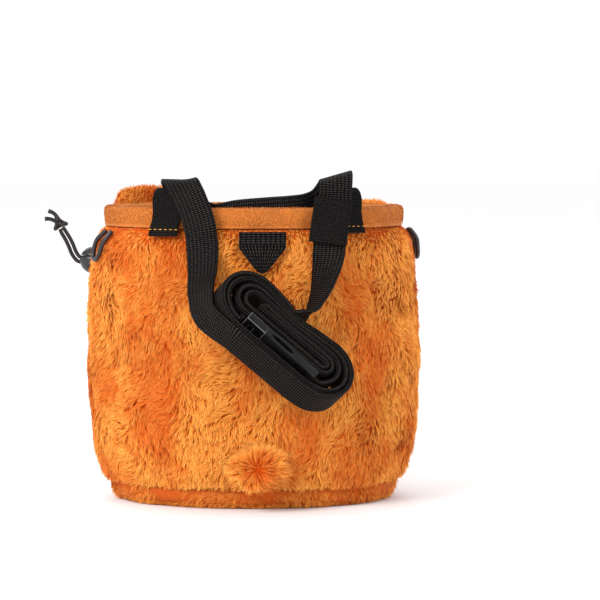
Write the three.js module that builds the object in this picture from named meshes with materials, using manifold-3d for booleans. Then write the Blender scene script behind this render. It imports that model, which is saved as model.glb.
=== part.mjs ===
// Furry climbing chalk bag: a fur covered cup with a felt rim, a sewn tab, a pompom tail,
// two belt loops, a rolled waist belt with its side release buckle, and a drawstring with a ball lock.
// Millimetres. +Z is up, the origin is the middle of the flat base, and -Y is the side with the belt.
import * as THREE from 'three';
import { mergeVertices } from 'three/addons/utils/BufferGeometryUtils.js';
import Module from 'manifold-3d';

const wasm = await Module();
wasm.setup();

// Driving dimensions of the bag
const BAG_HEIGHT = 149;
const RIM_WIDTH = 152;
const BODY_WIDTH = 169;
const BODY_DEPTH = 141;
const WALL = 2;
const PILE = 6.2;
const RIM_HEIGHT = 10.4;
const RIM_CLOTH = 1.2;
const BASE_HEIGHT = 10.6;
const BASE_PILE = 2.7;
const GAP = 0.35;

// Locks of the side fur
const LOCK_ROWS = 8;
const LOCKS_ROUND = 20;
const LOCK_LIFT = 2.2;
const LOCK_DROOP = 5;
const FUR_SIDES = 60;
const WALL_SIDES = 48;

// Belt, loops and roll
const WEBBING_WIDTH = 16;
const WEBBING = 1.7;
const LOOP_WIDTH = 16;
const KEEPER_WIDTH = 18.5;
const LOOP_CLOTH = 1.4;
const LOOP_RISE = 9;
const LEFT_HEM_DROP = 3.6;
const RIGHT_HEM_DROP = 2;
const LEFT_LOOP_TURN = -32.5;
const RIGHT_LOOP_TURN = 37.5;
const LAYER = 2.9;
const ROLL_TURNS = 2.62;
const ROLL_SLOPE = 42;
const ROLL_TILT = 45;
const ROLL_PINCH = 0.18;
const ROLL_UP_END = 20.5;
const ROLL_LOW_END = 23.5;

// Buckle
const BUCKLE_LENGTH = 43;
const BUCKLE_WIDTH = 22;
const BUCKLE_THICK = 4.6;
const BUCKLE_WALL = 1.1;

// Tab, tail, ears
const TAB_WIDTH = 23;
const TAB_HEIGHT = 20;
const TAB_CLOTH = 1.3;
const TAIL_WIDTH = 29;
const TAIL_HEIGHT = 21.5;
const TAIL_DEPTH = 15;
const EAR_WIDTH = 45;
const EAR_DEPTH = 7;
const LEFT_EAR_RISE = 9.5;
const RIGHT_EAR_RISE = 2.2;

// Drawstring, its lock and the side loops
const CORD = 2;
const LOCK_SIZE = 14;
const BUTTON_SHARE = 0.36;
const SIDE_LOOP_CORD = 2.4;
const SIDE_LOOP_DROP = 15;

// Places worked out from the sizes above
const SEAM = BAG_HEIGHT - RIM_HEIGHT;
const PLAN_DIFFERENCE = (BODY_WIDTH - BODY_DEPTH) / 2;
const RIM_HALF = RIM_WIDTH / 2;
const RIM_THICK = 2 * RIM_CLOTH + 2 * GAP + WALL;
const DEG = Math.PI / 180;

// How far the fur swells from the rim's width to the body's, from the base seam to the rim seam
const FUR_OUTLINE = [
  { height: 0.0, swell: -0.044 },
  { height: 0.06, swell: 0.353 },
  { height: 0.13, swell: 0.652 },
  { height: 0.23, swell: 0.881 },
  { height: 0.4, swell: 1.0 },
  { height: 0.58, swell: 0.96 },
  { height: 0.75, swell: 0.851 },
  { height: 0.88, swell: 0.682 },
  { height: 0.95, swell: 0.553 },
  { height: 0.985, swell: 0.304 },
  { height: 1.0, swell: -0.024 },
];

// How much of the full pile stands between the cloth wall and the fur's surface
const PILE_OUTLINE = [
  { height: 0.0, pile: 0.45 },
  { height: 0.1, pile: 0.9 },
  { height: 0.2, pile: 1.0 },
  { height: 0.85, pile: 1.0 },
  { height: 0.95, pile: 0.8 },
  { height: 1.0, pile: 0.2 },
];

// Value of one column of a table at a share of its height, eased between the rows
function sample(table, column, share) {
  const last = table.length - 1;
  const place = Math.min(Math.max(share, 0), 1);
  let row = 0;
  while (row < last - 1 && table[row + 1].height < place) row += 1;
  const low = table[row];
  const high = table[row + 1];
  const part = (place - low.height) / (high.height - low.height);
  return low[column] + (high[column] - low[column]) * part;
}

// Half width over the smooth fur surface at a height
function furHalf(z) {
  const share = (z - BASE_HEIGHT) / (SEAM - BASE_HEIGHT);
  return RIM_HALF + sample(FUR_OUTLINE, 'swell', share) * (BODY_WIDTH / 2 - RIM_HALF);
}

// Half width over the tips of the locks
function tipHalf(z) {
  return furHalf(z) + LOCK_LIFT * 0.5;
}

// Half width of the outside of the cloth wall
function wallHalf(z) {
  const share = (z - BASE_HEIGHT) / (SEAM - BASE_HEIGHT);
  if (share >= 1) return RIM_HALF - RIM_CLOTH - GAP;
  const underside = Math.min(share, 0) * PILE * 4;
  const fromFur = furHalf(z) - sample(PILE_OUTLINE, 'pile', share) * PILE + underside;
  const blend = THREE.MathUtils.smoothstep(share, 0.8, 1);
  return fromFur * (1 - blend) + (RIM_HALF - RIM_CLOTH - GAP) * blend;
}

// A point of the oval plan; turn 0 faces -Y and a quarter turn faces +X
function planPoint(turn, half, z) {
  return new THREE.Vector3(half * Math.sin(turn), -(half - PLAN_DIFFERENCE) * Math.cos(turn), z);
}

// Distance of the oval's back face from the middle plane, at x across
function ovalDepth(x, half) {
  return (half - PLAN_DIFFERENCE) * Math.sqrt(Math.max(1 - (x / half) ** 2, 0));
}

// Outward direction of the oval plan at a turn
function planNormal(turn, half) {
  const depth = half - PLAN_DIFFERENCE;
  return new THREE.Vector3(Math.sin(turn) / half, -Math.cos(turn) / depth, 0).normalize();
}

// Heights at which the cloth wall bends, from under the floor to under the rim band
const WALL_LEVELS = [
  BASE_PILE + GAP,
  BASE_HEIGHT * 0.65,
  BASE_HEIGHT,
  ...[0.16, 0.5, 0.86, 1].map((share) => BASE_HEIGHT + (SEAM - BASE_HEIGHT) * share),
  BAG_HEIGHT - RIM_CLOTH - GAP,
];

function ovalRing(half, z, sides) {
  return Array.from({ length: sides }, (unused, step) => planPoint((step / sides) * 2 * Math.PI, half, z));
}

// Closed body from points and triangles, turned so that its faces point out
function body(points, triangles) {
  let volume = 0;
  for (let k = 0; k < triangles.length; k += 3) {
    const [a, b, c] = [points[triangles[k]], points[triangles[k + 1]], points[triangles[k + 2]]];
    volume += a.dot(b.clone().cross(c));
  }
  const faces = volume < 0 ? triangles.slice().reverse() : triangles;
  const geometry = new THREE.BufferGeometry();
  const numbers = points.flatMap((point) => point.toArray());
  geometry.setAttribute('position', new THREE.Float32BufferAttribute(numbers, 3));
  geometry.setIndex(faces);
  geometry.computeVertexNormals();
  return geometry;
}

// Skin over a row of rings; the ends are closed by fans, or the last ring joins the first
function loft(rings, joined = false) {
  const sides = rings[0].length;
  const points = rings.flat();
  const triangles = [];
  const spans = joined ? rings.length : rings.length - 1;
  for (let k = 0; k < spans; k += 1) {
    const next = (k + 1) % rings.length;
    for (let j = 0; j < sides; j += 1) {
      const after = (j + 1) % sides;
      const [a, b, c, d] = [k * sides + j, k * sides + after, next * sides + after, next * sides + j];
      triangles.push(a, b, c, a, c, d);
    }
  }
  if (!joined) {
    for (const [ring, first, flip] of [[rings[0], 0, true], [rings.at(-1), (rings.length - 1) * sides, false]]) {
      const middle = ring.reduce((sum, point) => sum.add(point), new THREE.Vector3()).divideScalar(sides);
      const centre = points.push(middle) - 1;
      for (let j = 0; j < sides; j += 1) {
        const pair = [first + j, first + ((j + 1) % sides)];
        if (flip) pair.reverse();
        triangles.push(centre, ...pair);
      }
    }
  }
  return body(points, triangles);
}

// Flat strap through stations with a middle, a width direction and a travel direction
function strap(stations, width, thick) {
  return loft(stations.map(({ middle, across, travel }) => {
    const side = across.clone().addScaledVector(travel, -across.dot(travel)).normalize();
    const face = travel.clone().cross(side).normalize();
    return [[-1, -1], [1, -1], [1, 1], [-1, 1]].map(([w, t]) => middle.clone()
      .addScaledVector(side, w * width / 2)
      .addScaledVector(face, t * thick / 2));
  }));
}

// Smooth run through chosen stations, a few steps to each of them
function smoothRun(stations, stepsEach) {
  const curve = new THREE.CatmullRomCurve3(stations.map((station) => station.middle), false, 'centripetal');
  const spans = stations.length - 1;
  const steps = spans * stepsEach;
  return Array.from({ length: steps + 1 }, (unused, step) => {
    const t = step / steps;
    const row = Math.min(Math.floor(t * spans), spans - 1);
    const across = stations[row].across.clone().lerp(stations[row + 1].across, t * spans - row).normalize();
    return { middle: curve.getPoint(t), across, travel: curve.getTangent(t) };
  });
}

// Round cord along chosen points
function cordTube(points, diameter, steps) {
  const curve = new THREE.CatmullRomCurve3(points, false, 'centripetal');
  const section = new THREE.Shape();
  const sides = 8;
  for (let j = 0; j < sides; j += 1) {
    const turn = (j / sides) * 2 * Math.PI;
    const corner = [Math.cos(turn) * diameter / 2, Math.sin(turn) * diameter / 2];
    if (j === 0) section.moveTo(...corner);
    else section.lineTo(...corner);
  }
  section.closePath();
  const options = { extrudePath: curve, steps, bevelEnabled: false, curveSegments: 1 };
  return new THREE.ExtrudeGeometry(section, options);
}

// Solid of the boolean library from a closed geometry
function solidOf(geometry) {
  const plain = geometry.clone();
  for (const name of Object.keys(plain.attributes)) {
    if (name !== 'position') plain.deleteAttribute(name);
  }
  const merged = mergeVertices(plain, 1e-5);
  return new wasm.Manifold(new wasm.Mesh({
    numProp: 3,
    vertProperties: new Float32Array(merged.attributes.position.array),
    triVerts: new Uint32Array(merged.index.array),
  }));
}

function geometryOf(solid) {
  const mesh = solid.getMesh();
  const geometry = new THREE.BufferGeometry();
  geometry.setAttribute('position', new THREE.BufferAttribute(new Float32Array(mesh.vertProperties), 3));
  geometry.setIndex(Array.from(mesh.triVerts));
  geometry.computeVertexNormals();
  return geometry;
}

// Side fur: a sleeve whose outside is set with rows of overlapping locks
function sideFur() {
  const low = BASE_HEIGHT + GAP / 2;
  const high = SEAM - GAP / 2;
  const rowHeight = (high - low) / LOCK_ROWS;
  const rings = [];
  const crest = (row, turn) => {
    const place = (turn / (2 * Math.PI)) * LOCKS_ROUND + (row % 2) * 0.5;
    return Math.abs(Math.cos(Math.PI * place)) * (0.75 + 0.25 * Math.sin(turn * 7 + row * 1.7));
  };
  for (let row = 0; row < LOCK_ROWS; row += 1) {
    for (const [height, part, hang, hangRow] of [[0, 1, 1, row], [0.45, 0.7, 0.4, row], [0.92, 0.05, 1, row + 1]]) {
      const level = low + (row + height) * rowHeight;
      const fade = Math.min((high - level) / rowHeight, 1);
      const droop = LOCK_DROOP * hang * (hangRow > 0 ? fade : 0);
      rings.push(Array.from({ length: FUR_SIDES }, (unused, step) => {
        const turn = (step / FUR_SIDES) * 2 * Math.PI;
        const z = level - droop * crest(hangRow, turn);
        const lift = LOCK_LIFT * (part * (0.3 + 0.7 * crest(row, turn)) - 0.5) * (0.3 + 0.7 * fade);
        return planPoint(turn, furHalf(z) + lift, z);
      }));
    }
  }
  rings.push(ovalRing(furHalf(high) - LOCK_LIFT * 0.2, high, FUR_SIDES));
  const inside = [low, ...WALL_LEVELS.filter((z) => z > low && z < high), high];
  for (const z of inside.reverse()) rings.push(ovalRing(wallHalf(z) + GAP, z, FUR_SIDES));
  return loft(rings, true);
}

// Base fur: a shallow dish under the wall, flat where it rests
function baseFur() {
  const top = BASE_HEIGHT - GAP / 2;
  const seamHalf = furHalf(BASE_HEIGHT);
  const outside = [[0, 0.9], [0.15, 0.952], [0.5, 0.995], [1, 0.998]];
  const rings = outside.map(([height, half]) => ovalRing(seamHalf * half, top * height, FUR_SIDES));
  const inside = [BASE_PILE, ...WALL_LEVELS.filter((z) => z > BASE_PILE + GAP && z < top), top];
  for (const z of inside.reverse()) rings.push(ovalRing(wallHalf(z) + GAP, z, FUR_SIDES));
  return loft(rings);
}

// Cloth wall: an open cup
function bodyWall() {
  const rings = WALL_LEVELS.map((z) => ovalRing(wallHalf(z), z, WALL_SIDES));
  const inside = [WALL_LEVELS[0] + WALL, ...WALL_LEVELS.slice(1)];
  for (const z of inside.reverse()) rings.push(ovalRing(wallHalf(z) - WALL, z, WALL_SIDES));
  return loft(rings);
}

// Rim band: a strip folded over the top edge of the wall
function rimBand() {
  const inner = RIM_HALF - RIM_THICK;
  const round = RIM_CLOTH * 0.6;
  const section = [
    [RIM_HALF, SEAM + GAP / 2],
    [RIM_HALF, BAG_HEIGHT - round],
    [RIM_HALF - round, BAG_HEIGHT],
    [inner + round, BAG_HEIGHT],
    [inner, BAG_HEIGHT - round],
    [inner, SEAM + GAP / 2],
    [inner + RIM_CLOTH, SEAM + GAP / 2],
    [inner + RIM_CLOTH, BAG_HEIGHT - RIM_CLOTH],
    [RIM_HALF - RIM_CLOTH, BAG_HEIGHT - RIM_CLOTH],
    [RIM_HALF - RIM_CLOTH, SEAM + GAP / 2],
  ];
  return loft(section.map(([half, z]) => ovalRing(half, z, WALL_SIDES)), true);
}

// Half width of the tab at a share of its height, as a share of its full half width
const TAB_OUTLINE = [
  { height: 0, half: 1 },
  { height: 0.36, half: 1 },
  { height: 0.44, half: 0.93 },
  { height: 0.86, half: 0.36 },
  { height: 0.96, half: 0.2 },
  { height: 1, half: 0.1 },
];

// Sewn tab below the rim: straight at the top and drawn in to a rounded point, lying on the fur
function backTab() {
  const middle = RIM_WIDTH * 0.0355;
  const top = SEAM - 1.2;
  const columns = 6;
  const skin = (x, z, out) => new THREE.Vector3(x, -ovalDepth(x, tipHalf(z) + GAP + out), z);
  const levels = [0, 0.18, 0.36, 0.44, 0.65, 0.86, 0.96, 1];
  const rings = levels.map((share) => {
    const half = TAB_WIDTH / 2 * sample(TAB_OUTLINE, 'half', share);
    const z = top - TAB_HEIGHT * share;
    const across = Array.from({ length: columns + 1 }, (also, step) => middle + half * (2 * step / columns - 1));
    const back = across.map((x) => skin(x, z, 0));
    const front = across.reverse().map((x) => skin(x, z, TAB_CLOTH));
    return back.concat(front);
  });
  return loft(rings);
}

// Round or oval tuft of locks on a small cushion
function tuft(halves, sides, rows, locks, shape) {
  const rings = [];
  for (let row = 1; row < rows; row += 1) {
    const tip = (row / rows) * Math.PI;
    rings.push(Array.from({ length: sides }, (unused, step) => {
      const turn = (step / sides) * 2 * Math.PI;
      const swell = 1 + 0.09 * Math.cos(locks * turn + row * 2.1) * Math.sin(tip);
      const point = new THREE.Vector3(
        halves.x * Math.sin(tip) * Math.sin(turn) * swell,
        -halves.y * Math.cos(tip),
        halves.z * Math.sin(tip) * Math.cos(turn) * swell,
      );
      return shape(point);
    }));
  }
  return loft(rings);
}

// Pompom tail, set on the fur low on the back
function tailPompom() {
  const centreX = RIM_WIDTH * 0.024;
  const centreZ = BAG_HEIGHT * 0.148;
  const halves = new THREE.Vector3(TAIL_WIDTH / 2 / 1.06, TAIL_DEPTH / 2, TAIL_HEIGHT / 2 / 1.06);
  const rest = ovalDepth(centreX, tipHalf(centreZ));
  return tuft(halves, 20, 8, 10, (point) => {
    const x = point.x + centreX;
    const z = point.z + centreZ;
    const y = point.y - rest - TAIL_DEPTH * 0.36;
    return new THREE.Vector3(x, Math.min(y, -ovalDepth(x, tipHalf(z) + GAP)), z);
  });
}

// Round fur ear on the far side of the rim
function ear(turn, rise) {
  const low = SEAM + GAP * 2;
  const high = BAG_HEIGHT + rise;
  const centreZ = (low + high) / 2;
  const halves = new THREE.Vector3(EAR_WIDTH / 2 / 1.06, EAR_DEPTH / 2, (high - low) / 2 / 1.09);
  return tuft(halves, 20, 7, 9, (point) => {
    const around = turn - point.x / (RIM_HALF * 0.92);
    const out = point.y + EAR_DEPTH / 2 + 0.3 + GAP;
    const foot = planPoint(around, RIM_HALF, point.z + centreZ);
    return foot.addScaledVector(planNormal(around, RIM_HALF), out);
  });
}

// Belt loop: sewn outside under the rim, over the top, and down inside
function beltLoop(turnDegrees, hemDrop) {
  const turn = turnDegrees * DEG;
  const normal = planNormal(turn, RIM_HALF);
  const across = new THREE.Vector3(-normal.y, normal.x, 0);
  const clear = LOOP_CLOTH / 2 + GAP;
  const furOut = tipHalf(SEAM - hemDrop) - RIM_HALF;
  const inside = -RIM_THICK - clear - LOOP_WIDTH * 0.045;
  const top = BAG_HEIGHT + LOOP_RISE;
  const side = [
    [furOut + clear + LOOP_CLOTH * 0.36, SEAM - hemDrop],
    [furOut + clear - LOOP_CLOTH * 0.14, SEAM - LOOP_CLOTH * 0.28],
    [LOOP_CLOTH * 1.36 + clear, SEAM + RIM_HEIGHT * 0.35],
    [LOOP_CLOTH * 0.5 + clear, BAG_HEIGHT - RIM_HEIGHT * 0.19],
    [LOOP_CLOTH * 0.71 + clear, BAG_HEIGHT + LOOP_RISE * 0.4],
    [LOOP_CLOTH * 0.29, top - LOOP_RISE * 0.18],
    [(inside + clear) / 2, top],
    [inside - LOOP_CLOTH * 0.14, top - LOOP_RISE * 0.2],
    [inside - LOOP_CLOTH * 0.57, BAG_HEIGHT + LOOP_RISE * 0.35],
    [inside - LOOP_CLOTH * 0.11, BAG_HEIGHT - RIM_HEIGHT * 0.19],
    [inside - LOOP_CLOTH * 0.07, SEAM + RIM_HEIGHT * 0.1],
  ];
  const stations = side.map(([out, z]) => ({
    middle: planPoint(turn, RIM_HALF, z).addScaledVector(normal, out),
    across,
  }));
  return strap(smoothRun(stations, 2), LOOP_WIDTH, LOOP_CLOTH);
}

// Roll frame: along its length, across its layers, and along the webbing's width
const rollLong = new THREE.Vector3(Math.cos(ROLL_SLOPE * DEG), 0, -Math.sin(ROLL_SLOPE * DEG));
const lowerLeft = new THREE.Vector3(-Math.sin(ROLL_SLOPE * DEG), 0, -Math.cos(ROLL_SLOPE * DEG));
const toViewer = new THREE.Vector3(0, -1, 0);
const rollOut = lowerLeft.clone().multiplyScalar(Math.cos(ROLL_TILT * DEG))
  .addScaledVector(toViewer, Math.sin(ROLL_TILT * DEG));
const rollWide = lowerLeft.clone().multiplyScalar(-Math.sin(ROLL_TILT * DEG))
  .addScaledVector(toViewer, Math.cos(ROLL_TILT * DEG));
const OUTER_LAYER = LAYER * 5.28;
const ROLL_BACK = (OUTER_LAYER + WEBBING_WIDTH / 2) * Math.SQRT1_2;
const rollX = RIM_WIDTH * 0.0925;
const rollZ = BAG_HEIGHT * 0.5875;
const rollMiddle = new THREE.Vector3(rollX, -ovalDepth(0, tipHalf(rollZ)) - ROLL_BACK - GAP, rollZ);
const BUCKLE_PLACE = LAYER * 4.07;
const BUCKLE_MIDDLE = (ROLL_LOW_END - ROLL_UP_END) / 2 + 1.5;
const BUCKLE_START = BUCKLE_MIDDLE - BUCKLE_LENGTH / 2;
const BUCKLE_END = BUCKLE_MIDDLE + BUCKLE_LENGTH / 2;
const SOCKET_START = BUCKLE_START + BUCKLE_LENGTH * 0.27;

function rollPoint(u, v, w = 0) {
  return rollMiddle.clone().addScaledVector(rollLong, u).addScaledVector(rollOut, v).addScaledVector(rollWide, w);
}

// Shares of one winding: half a straight, an end, a straight, an end, half a straight
const TURN_MARKS = [0, 0.16, 0.34, 0.66, 0.84, 1];

// Place in the roll after some turns, for a layer at a distance from the roll's flat core
function windPlace(turns, reach) {
  const part = turns - Math.floor(turns);
  const beyond = THREE.MathUtils.clamp((reach - LAYER * 2.2) / (LAYER * 1.5), 0, 1);
  const push = BUCKLE_THICK * 1.02 * beyond;
  const lean = 0.5 + 0.5 * Math.cos(2 * Math.PI * part);
  const out = reach + push * THREE.MathUtils.smoothstep(lean, 0.02, 0.9);
  const [, a, b, c, d] = TURN_MARKS;
  if (part <= a) return [ROLL_LOW_END * part / a, out];
  if (part <= b) {
    const swing = Math.PI * (part - a) / (b - a);
    return [ROLL_LOW_END + out * Math.sin(swing), out * Math.cos(swing)];
  }
  if (part <= c) {
    const u = ROLL_LOW_END - (ROLL_LOW_END + ROLL_UP_END) * (part - b) / (c - b);
    return [u, -out * (1 - ROLL_PINCH * Math.exp(-((u / (ROLL_UP_END * 0.5)) ** 2)))];
  }
  if (part <= d) {
    const swing = Math.PI * (part - c) / (d - c);
    return [-ROLL_UP_END - out * Math.sin(swing), -out * Math.cos(swing)];
  }
  return [-ROLL_UP_END * (1 - part) / (1 - d), out];
}

// Middle line of a wound stretch; lane 0 is the left strap's and lane 1 the right strap's
function windRun(from, to, lane, step) {
  const count = Math.max(Math.round(Math.abs(to - from) / step), 1);
  return Array.from({ length: count + 1 }, (unused, k) => {
    const turns = from + (to - from) * k / count;
    const reach = OUTER_LAYER - 2 * LAYER * turns + LAYER * lane;
    const [u, v] = windPlace(turns, reach);
    return rollPoint(u, v);
  });
}

// Belt stations outside and inside the rim: across is a share of half the rim's width, height of
// the bag's, stand the distance from the named face, and the last three the width direction
const LEFT_STRAP = [
  { across: -0.285, height: 0.665, face: 'fur', stand: 26.5, wide: [0.6, -0.65, 0.46] },
  { across: -0.315, height: 0.735, face: 'fur', stand: 18.5, wide: [0.75, -0.55, 0.36] },
  { across: -0.31, height: 0.795, face: 'fur', stand: 8.0, wide: [0.9, -0.38, 0.22] },
  { across: -0.315, height: 0.874, face: 'fur', stand: 2.2, wide: [0.97, -0.22, 0.05] },
  { across: -0.33, height: 0.937, face: 'rim', stand: 7.6, wide: [0.97, -0.22, 0.0] },
  { across: -0.36, height: 0.988, face: 'rim', stand: 6.0, wide: [0.96, -0.25, 0.05] },
  { across: -0.395, height: 1.033, face: 'rim', stand: 5.4, wide: [0.94, -0.3, 0.04] },
  { across: -0.435, height: 1.069, face: 'rim', stand: 3.6, wide: [0.93, -0.34, -0.02] },
  { across: -0.475, height: 1.086, face: 'rim', stand: -1.6, wide: [0.93, -0.36, -0.04] },
  { across: -0.485, height: 1.072, face: 'lining', stand: 5.4, wide: [0.92, -0.36, 0.12] },
  { across: -0.445, height: 1.033, face: 'lining', stand: 6.4, wide: [0.8, -0.3, 0.5] },
  { across: -0.375, height: 0.988, face: 'lining', stand: 4.2, wide: [0.45, -0.15, 0.88] },
  { across: -0.255, height: 0.96, face: 'lining', stand: 2.0, wide: [0.06, 0.0, 1.0] },
];
const BACK_BAND = [
  { across: -0.08, height: 0.973, face: 'lining', stand: 1.5, wide: [0.0, 0.0, 1.0] },
  { across: 0.105, height: 0.981, face: 'lining', stand: 1.5, wide: [0.0, 0.0, 1.0] },
  { across: 0.25, height: 0.986, face: 'lining', stand: 1.5, wide: [-0.04, 0.0, 1.0] },
];
const RIGHT_STRAP = [
  { across: 0.36, height: 0.993, face: 'lining', stand: 3.6, wide: [-0.25, -0.05, 0.97] },
  { across: 0.455, height: 1.014, face: 'lining', stand: 7.0, wide: [-0.7, -0.1, 0.7] },
  { across: 0.515, height: 1.052, face: 'lining', stand: 7.4, wide: [-0.93, -0.2, 0.25] },
  { across: 0.545, height: 1.089, face: 'lining', stand: 5.0, wide: [-0.93, -0.2, -0.2] },
  { across: 0.55, height: 1.101, face: 'rim', stand: -1.6, wide: [-0.92, -0.22, -0.28] },
  { across: 0.545, height: 1.077, face: 'rim', stand: 4.6, wide: [-0.92, -0.22, -0.25] },
  { across: 0.54, height: 1.03, face: 'rim', stand: 5.2, wide: [-0.95, -0.15, -0.1] },
  { across: 0.53, height: 0.985, face: 'rim', stand: 6.2, wide: [-0.97, -0.1, 0.05] },
  { across: 0.515, height: 0.937, face: 'rim', stand: 7.6, wide: [-0.97, -0.05, 0.15] },
  { across: 0.503, height: 0.885, face: 'fur', stand: 3.3, wide: [-0.97, 0.02, 0.2] },
  { across: 0.493, height: 0.833, face: 'fur', stand: 5.4, wide: [-0.92, 0.35, 0.1] },
  { across: 0.475, height: 0.783, face: 'fur', stand: 6.8, wide: [-0.75, 0.62, -0.02] },
  { across: 0.449, height: 0.735, face: 'fur', stand: 8.4, wide: [-0.6, 0.74, -0.2] },
  { across: 0.416, height: 0.697, face: 'fur', stand: 9.0, wide: [-0.52, 0.74, -0.35] },
  { across: 0.372, height: 0.662, face: 'fur', stand: 9.2, wide: [-0.48, 0.71, -0.5] },
  { across: 0.315, height: 0.648, face: 'fur', stand: 9.0, wide: [-0.47, 0.71, -0.52] },
];

// Belt station in the bag's frame
function beltStation({ across, height, face, stand, wide }) {
  const x = across * RIM_HALF;
  const z = height * BAG_HEIGHT;
  const reach = { fur: tipHalf(z) + stand, rim: RIM_HALF + stand, lining: RIM_HALF - RIM_THICK - stand }[face];
  return { middle: new THREE.Vector3(x, -ovalDepth(x, reach), z), across: new THREE.Vector3(...wide) };
}

const wound = (points, side) => points.map((middle) => ({ middle, across: rollWide.clone().multiplyScalar(side) }));

// Waist belt: one strap from one buckle end round the roll, up, through the bag and back to the buckle
function waistBelt() {
  const upperEnd = rollPoint(BUCKLE_START - 4 * GAP, BUCKLE_PLACE);
  const lowerEnd = rollPoint(BUCKLE_END + 2 * GAP, BUCKLE_PLACE);
  const lowerBend = rollPoint(BUCKLE_END + 4.4, BUCKLE_PLACE - 1.6);
  const step = 0.03;
  const outer = windRun(0.835, -0.14, 0, step);
  const inner = windRun(0.53, ROLL_TURNS, 1, step);
  const core = windRun(ROLL_TURNS, 1.215, 0, step);
  const foldEnd = inner.at(-1).clone().add(core[0]).multiplyScalar(0.5).addScaledVector(rollLong, -LAYER / 2);
  const stations = [
    ...wound([upperEnd, ...outer], 1),
    ...[...LEFT_STRAP, ...BACK_BAND, ...RIGHT_STRAP].map(beltStation),
    ...wound([...inner, foldEnd, ...core, lowerBend, lowerEnd], -1),
  ];
  const first = outer.length;
  const last = first + LEFT_STRAP.length + BACK_BAND.length + RIGHT_STRAP.length;
  const fine = smoothRun(stations, 2);
  for (const end of [fine[0], fine.at(-1)]) end.travel = rollLong.clone().negate();
  return fine.filter((station, k) => k % 2 === 0 || (k / 2 > first && k / 2 < last + 1));
}

// Sewn back end of the belt: a second layer on the front of the right strap
function beltKeeper() {
  const lift = WEBBING + GAP + 0.5;
  const rows = RIGHT_STRAP.slice(6, 10).map((row) => ({ ...row, stand: row.stand + lift, across: row.across - 0.014 }));
  return strap(smoothRun(rows.map(beltStation), 3), KEEPER_WIDTH, LOOP_CLOTH);
}

// Block in the roll's frame, by its range along the roll, across the layers and along the width
function rollBlock([u0, u1], [v0, v1], [w0, w1]) {
  const corner = (u, v, w) => rollPoint(u, v, w);
  return solidOf(loft([u0, u1].map((u) => [
    corner(u, v0, w0), corner(u, v1, w0), corner(u, v1, w1), corner(u, v0, w1),
  ])));
}

// Bar across the roll with a pointed oval section, for windows and rounded noses
function rollLens([u0, u1], thick, v, [w0, w1]) {
  const section = Array.from({ length: 12 }, (unused, k) => {
    const turn = (k / 12) * 2 * Math.PI;
    return [(u0 + u1) / 2 + Math.cos(turn) * (u1 - u0) / 2, v + Math.sin(turn) * thick / 2];
  });
  return solidOf(loft([w0, w1].map((w) => section.map(([u, across]) => rollPoint(u, across, w)))));
}

// Buckle socket: a flat shell with side windows, open towards the clip
function buckleSocket() {
  const half = BUCKLE_THICK / 2;
  const wide = BUCKLE_WIDTH / 2;
  const [low, high] = [BUCKLE_PLACE - half, BUCKLE_PLACE + half];
  const bore = [low + BUCKLE_WALL, high - BUCKLE_WALL];
  const shell = rollBlock([SOCKET_START, BUCKLE_END], [low, high], [-wide, wide]);
  const past = wide + BUCKLE_WALL;
  const inner = wide - BUCKLE_WALL * 1.45;
  const lug = wide - BUCKLE_WIDTH * 0.136;
  const back = (share) => BUCKLE_END - BUCKLE_LENGTH * share;
  const hollow = rollBlock([SOCKET_START - BUCKLE_WALL, back(0.28)], bore, [-inner, inner]);
  const opening = [SOCKET_START + BUCKLE_LENGTH * 0.058, back(0.35)];
  const window = rollLens(opening, BUCKLE_THICK * 0.6, BUCKLE_PLACE, [-past, past]);
  const slot = rollBlock([back(0.14), back(0.08)], [low - BUCKLE_WALL, high + BUCKLE_WALL], [-lug, lug]);
  const cut = [high - BUCKLE_THICK * 0.11, high + BUCKLE_WALL];
  const groove = rollBlock([back(0.247), back(0.23)], cut, [-past, past]);
  return geometryOf(shell.subtract(hollow).subtract(window).subtract(slot).subtract(groove));
}

// Buckle clip: an end bar with a tongue and two arms inside the socket
function buckleClip() {
  const half = BUCKLE_THICK / 2;
  const wide = BUCKLE_WIDTH / 2;
  const reach = SOCKET_START - GAP;
  const tongue = half - BUCKLE_WALL - GAP;
  const block = rollBlock([BUCKLE_START, reach], [BUCKLE_PLACE - half, BUCKLE_PLACE + half], [-wide, wide]);
  const lug = wide - BUCKLE_WIDTH * 0.136;
  const front = (share) => BUCKLE_START + BUCKLE_LENGTH * share;
  const through = [BUCKLE_PLACE - BUCKLE_THICK, BUCKLE_PLACE + BUCKLE_THICK];
  const slot = rollBlock([front(0.07), front(0.13)], through, [-lug, lug]);
  const [near, far, tip] = [0.21, 0.1, 0.073].map((share) => BUCKLE_WIDTH * share);
  const prongs = [[-wide + far, -wide + near], [-tip, tip], [wide - near, wide - far]];
  return geometryOf(prongs.reduce((solid, side) => solid.add(rollBlock(
    [reach - BUCKLE_WALL * 0.5, BUCKLE_END - BUCKLE_LENGTH * 0.293],
    [BUCKLE_PLACE - tongue, BUCKLE_PLACE + tongue],
    side,
  )), block.subtract(slot)));
}

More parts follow.
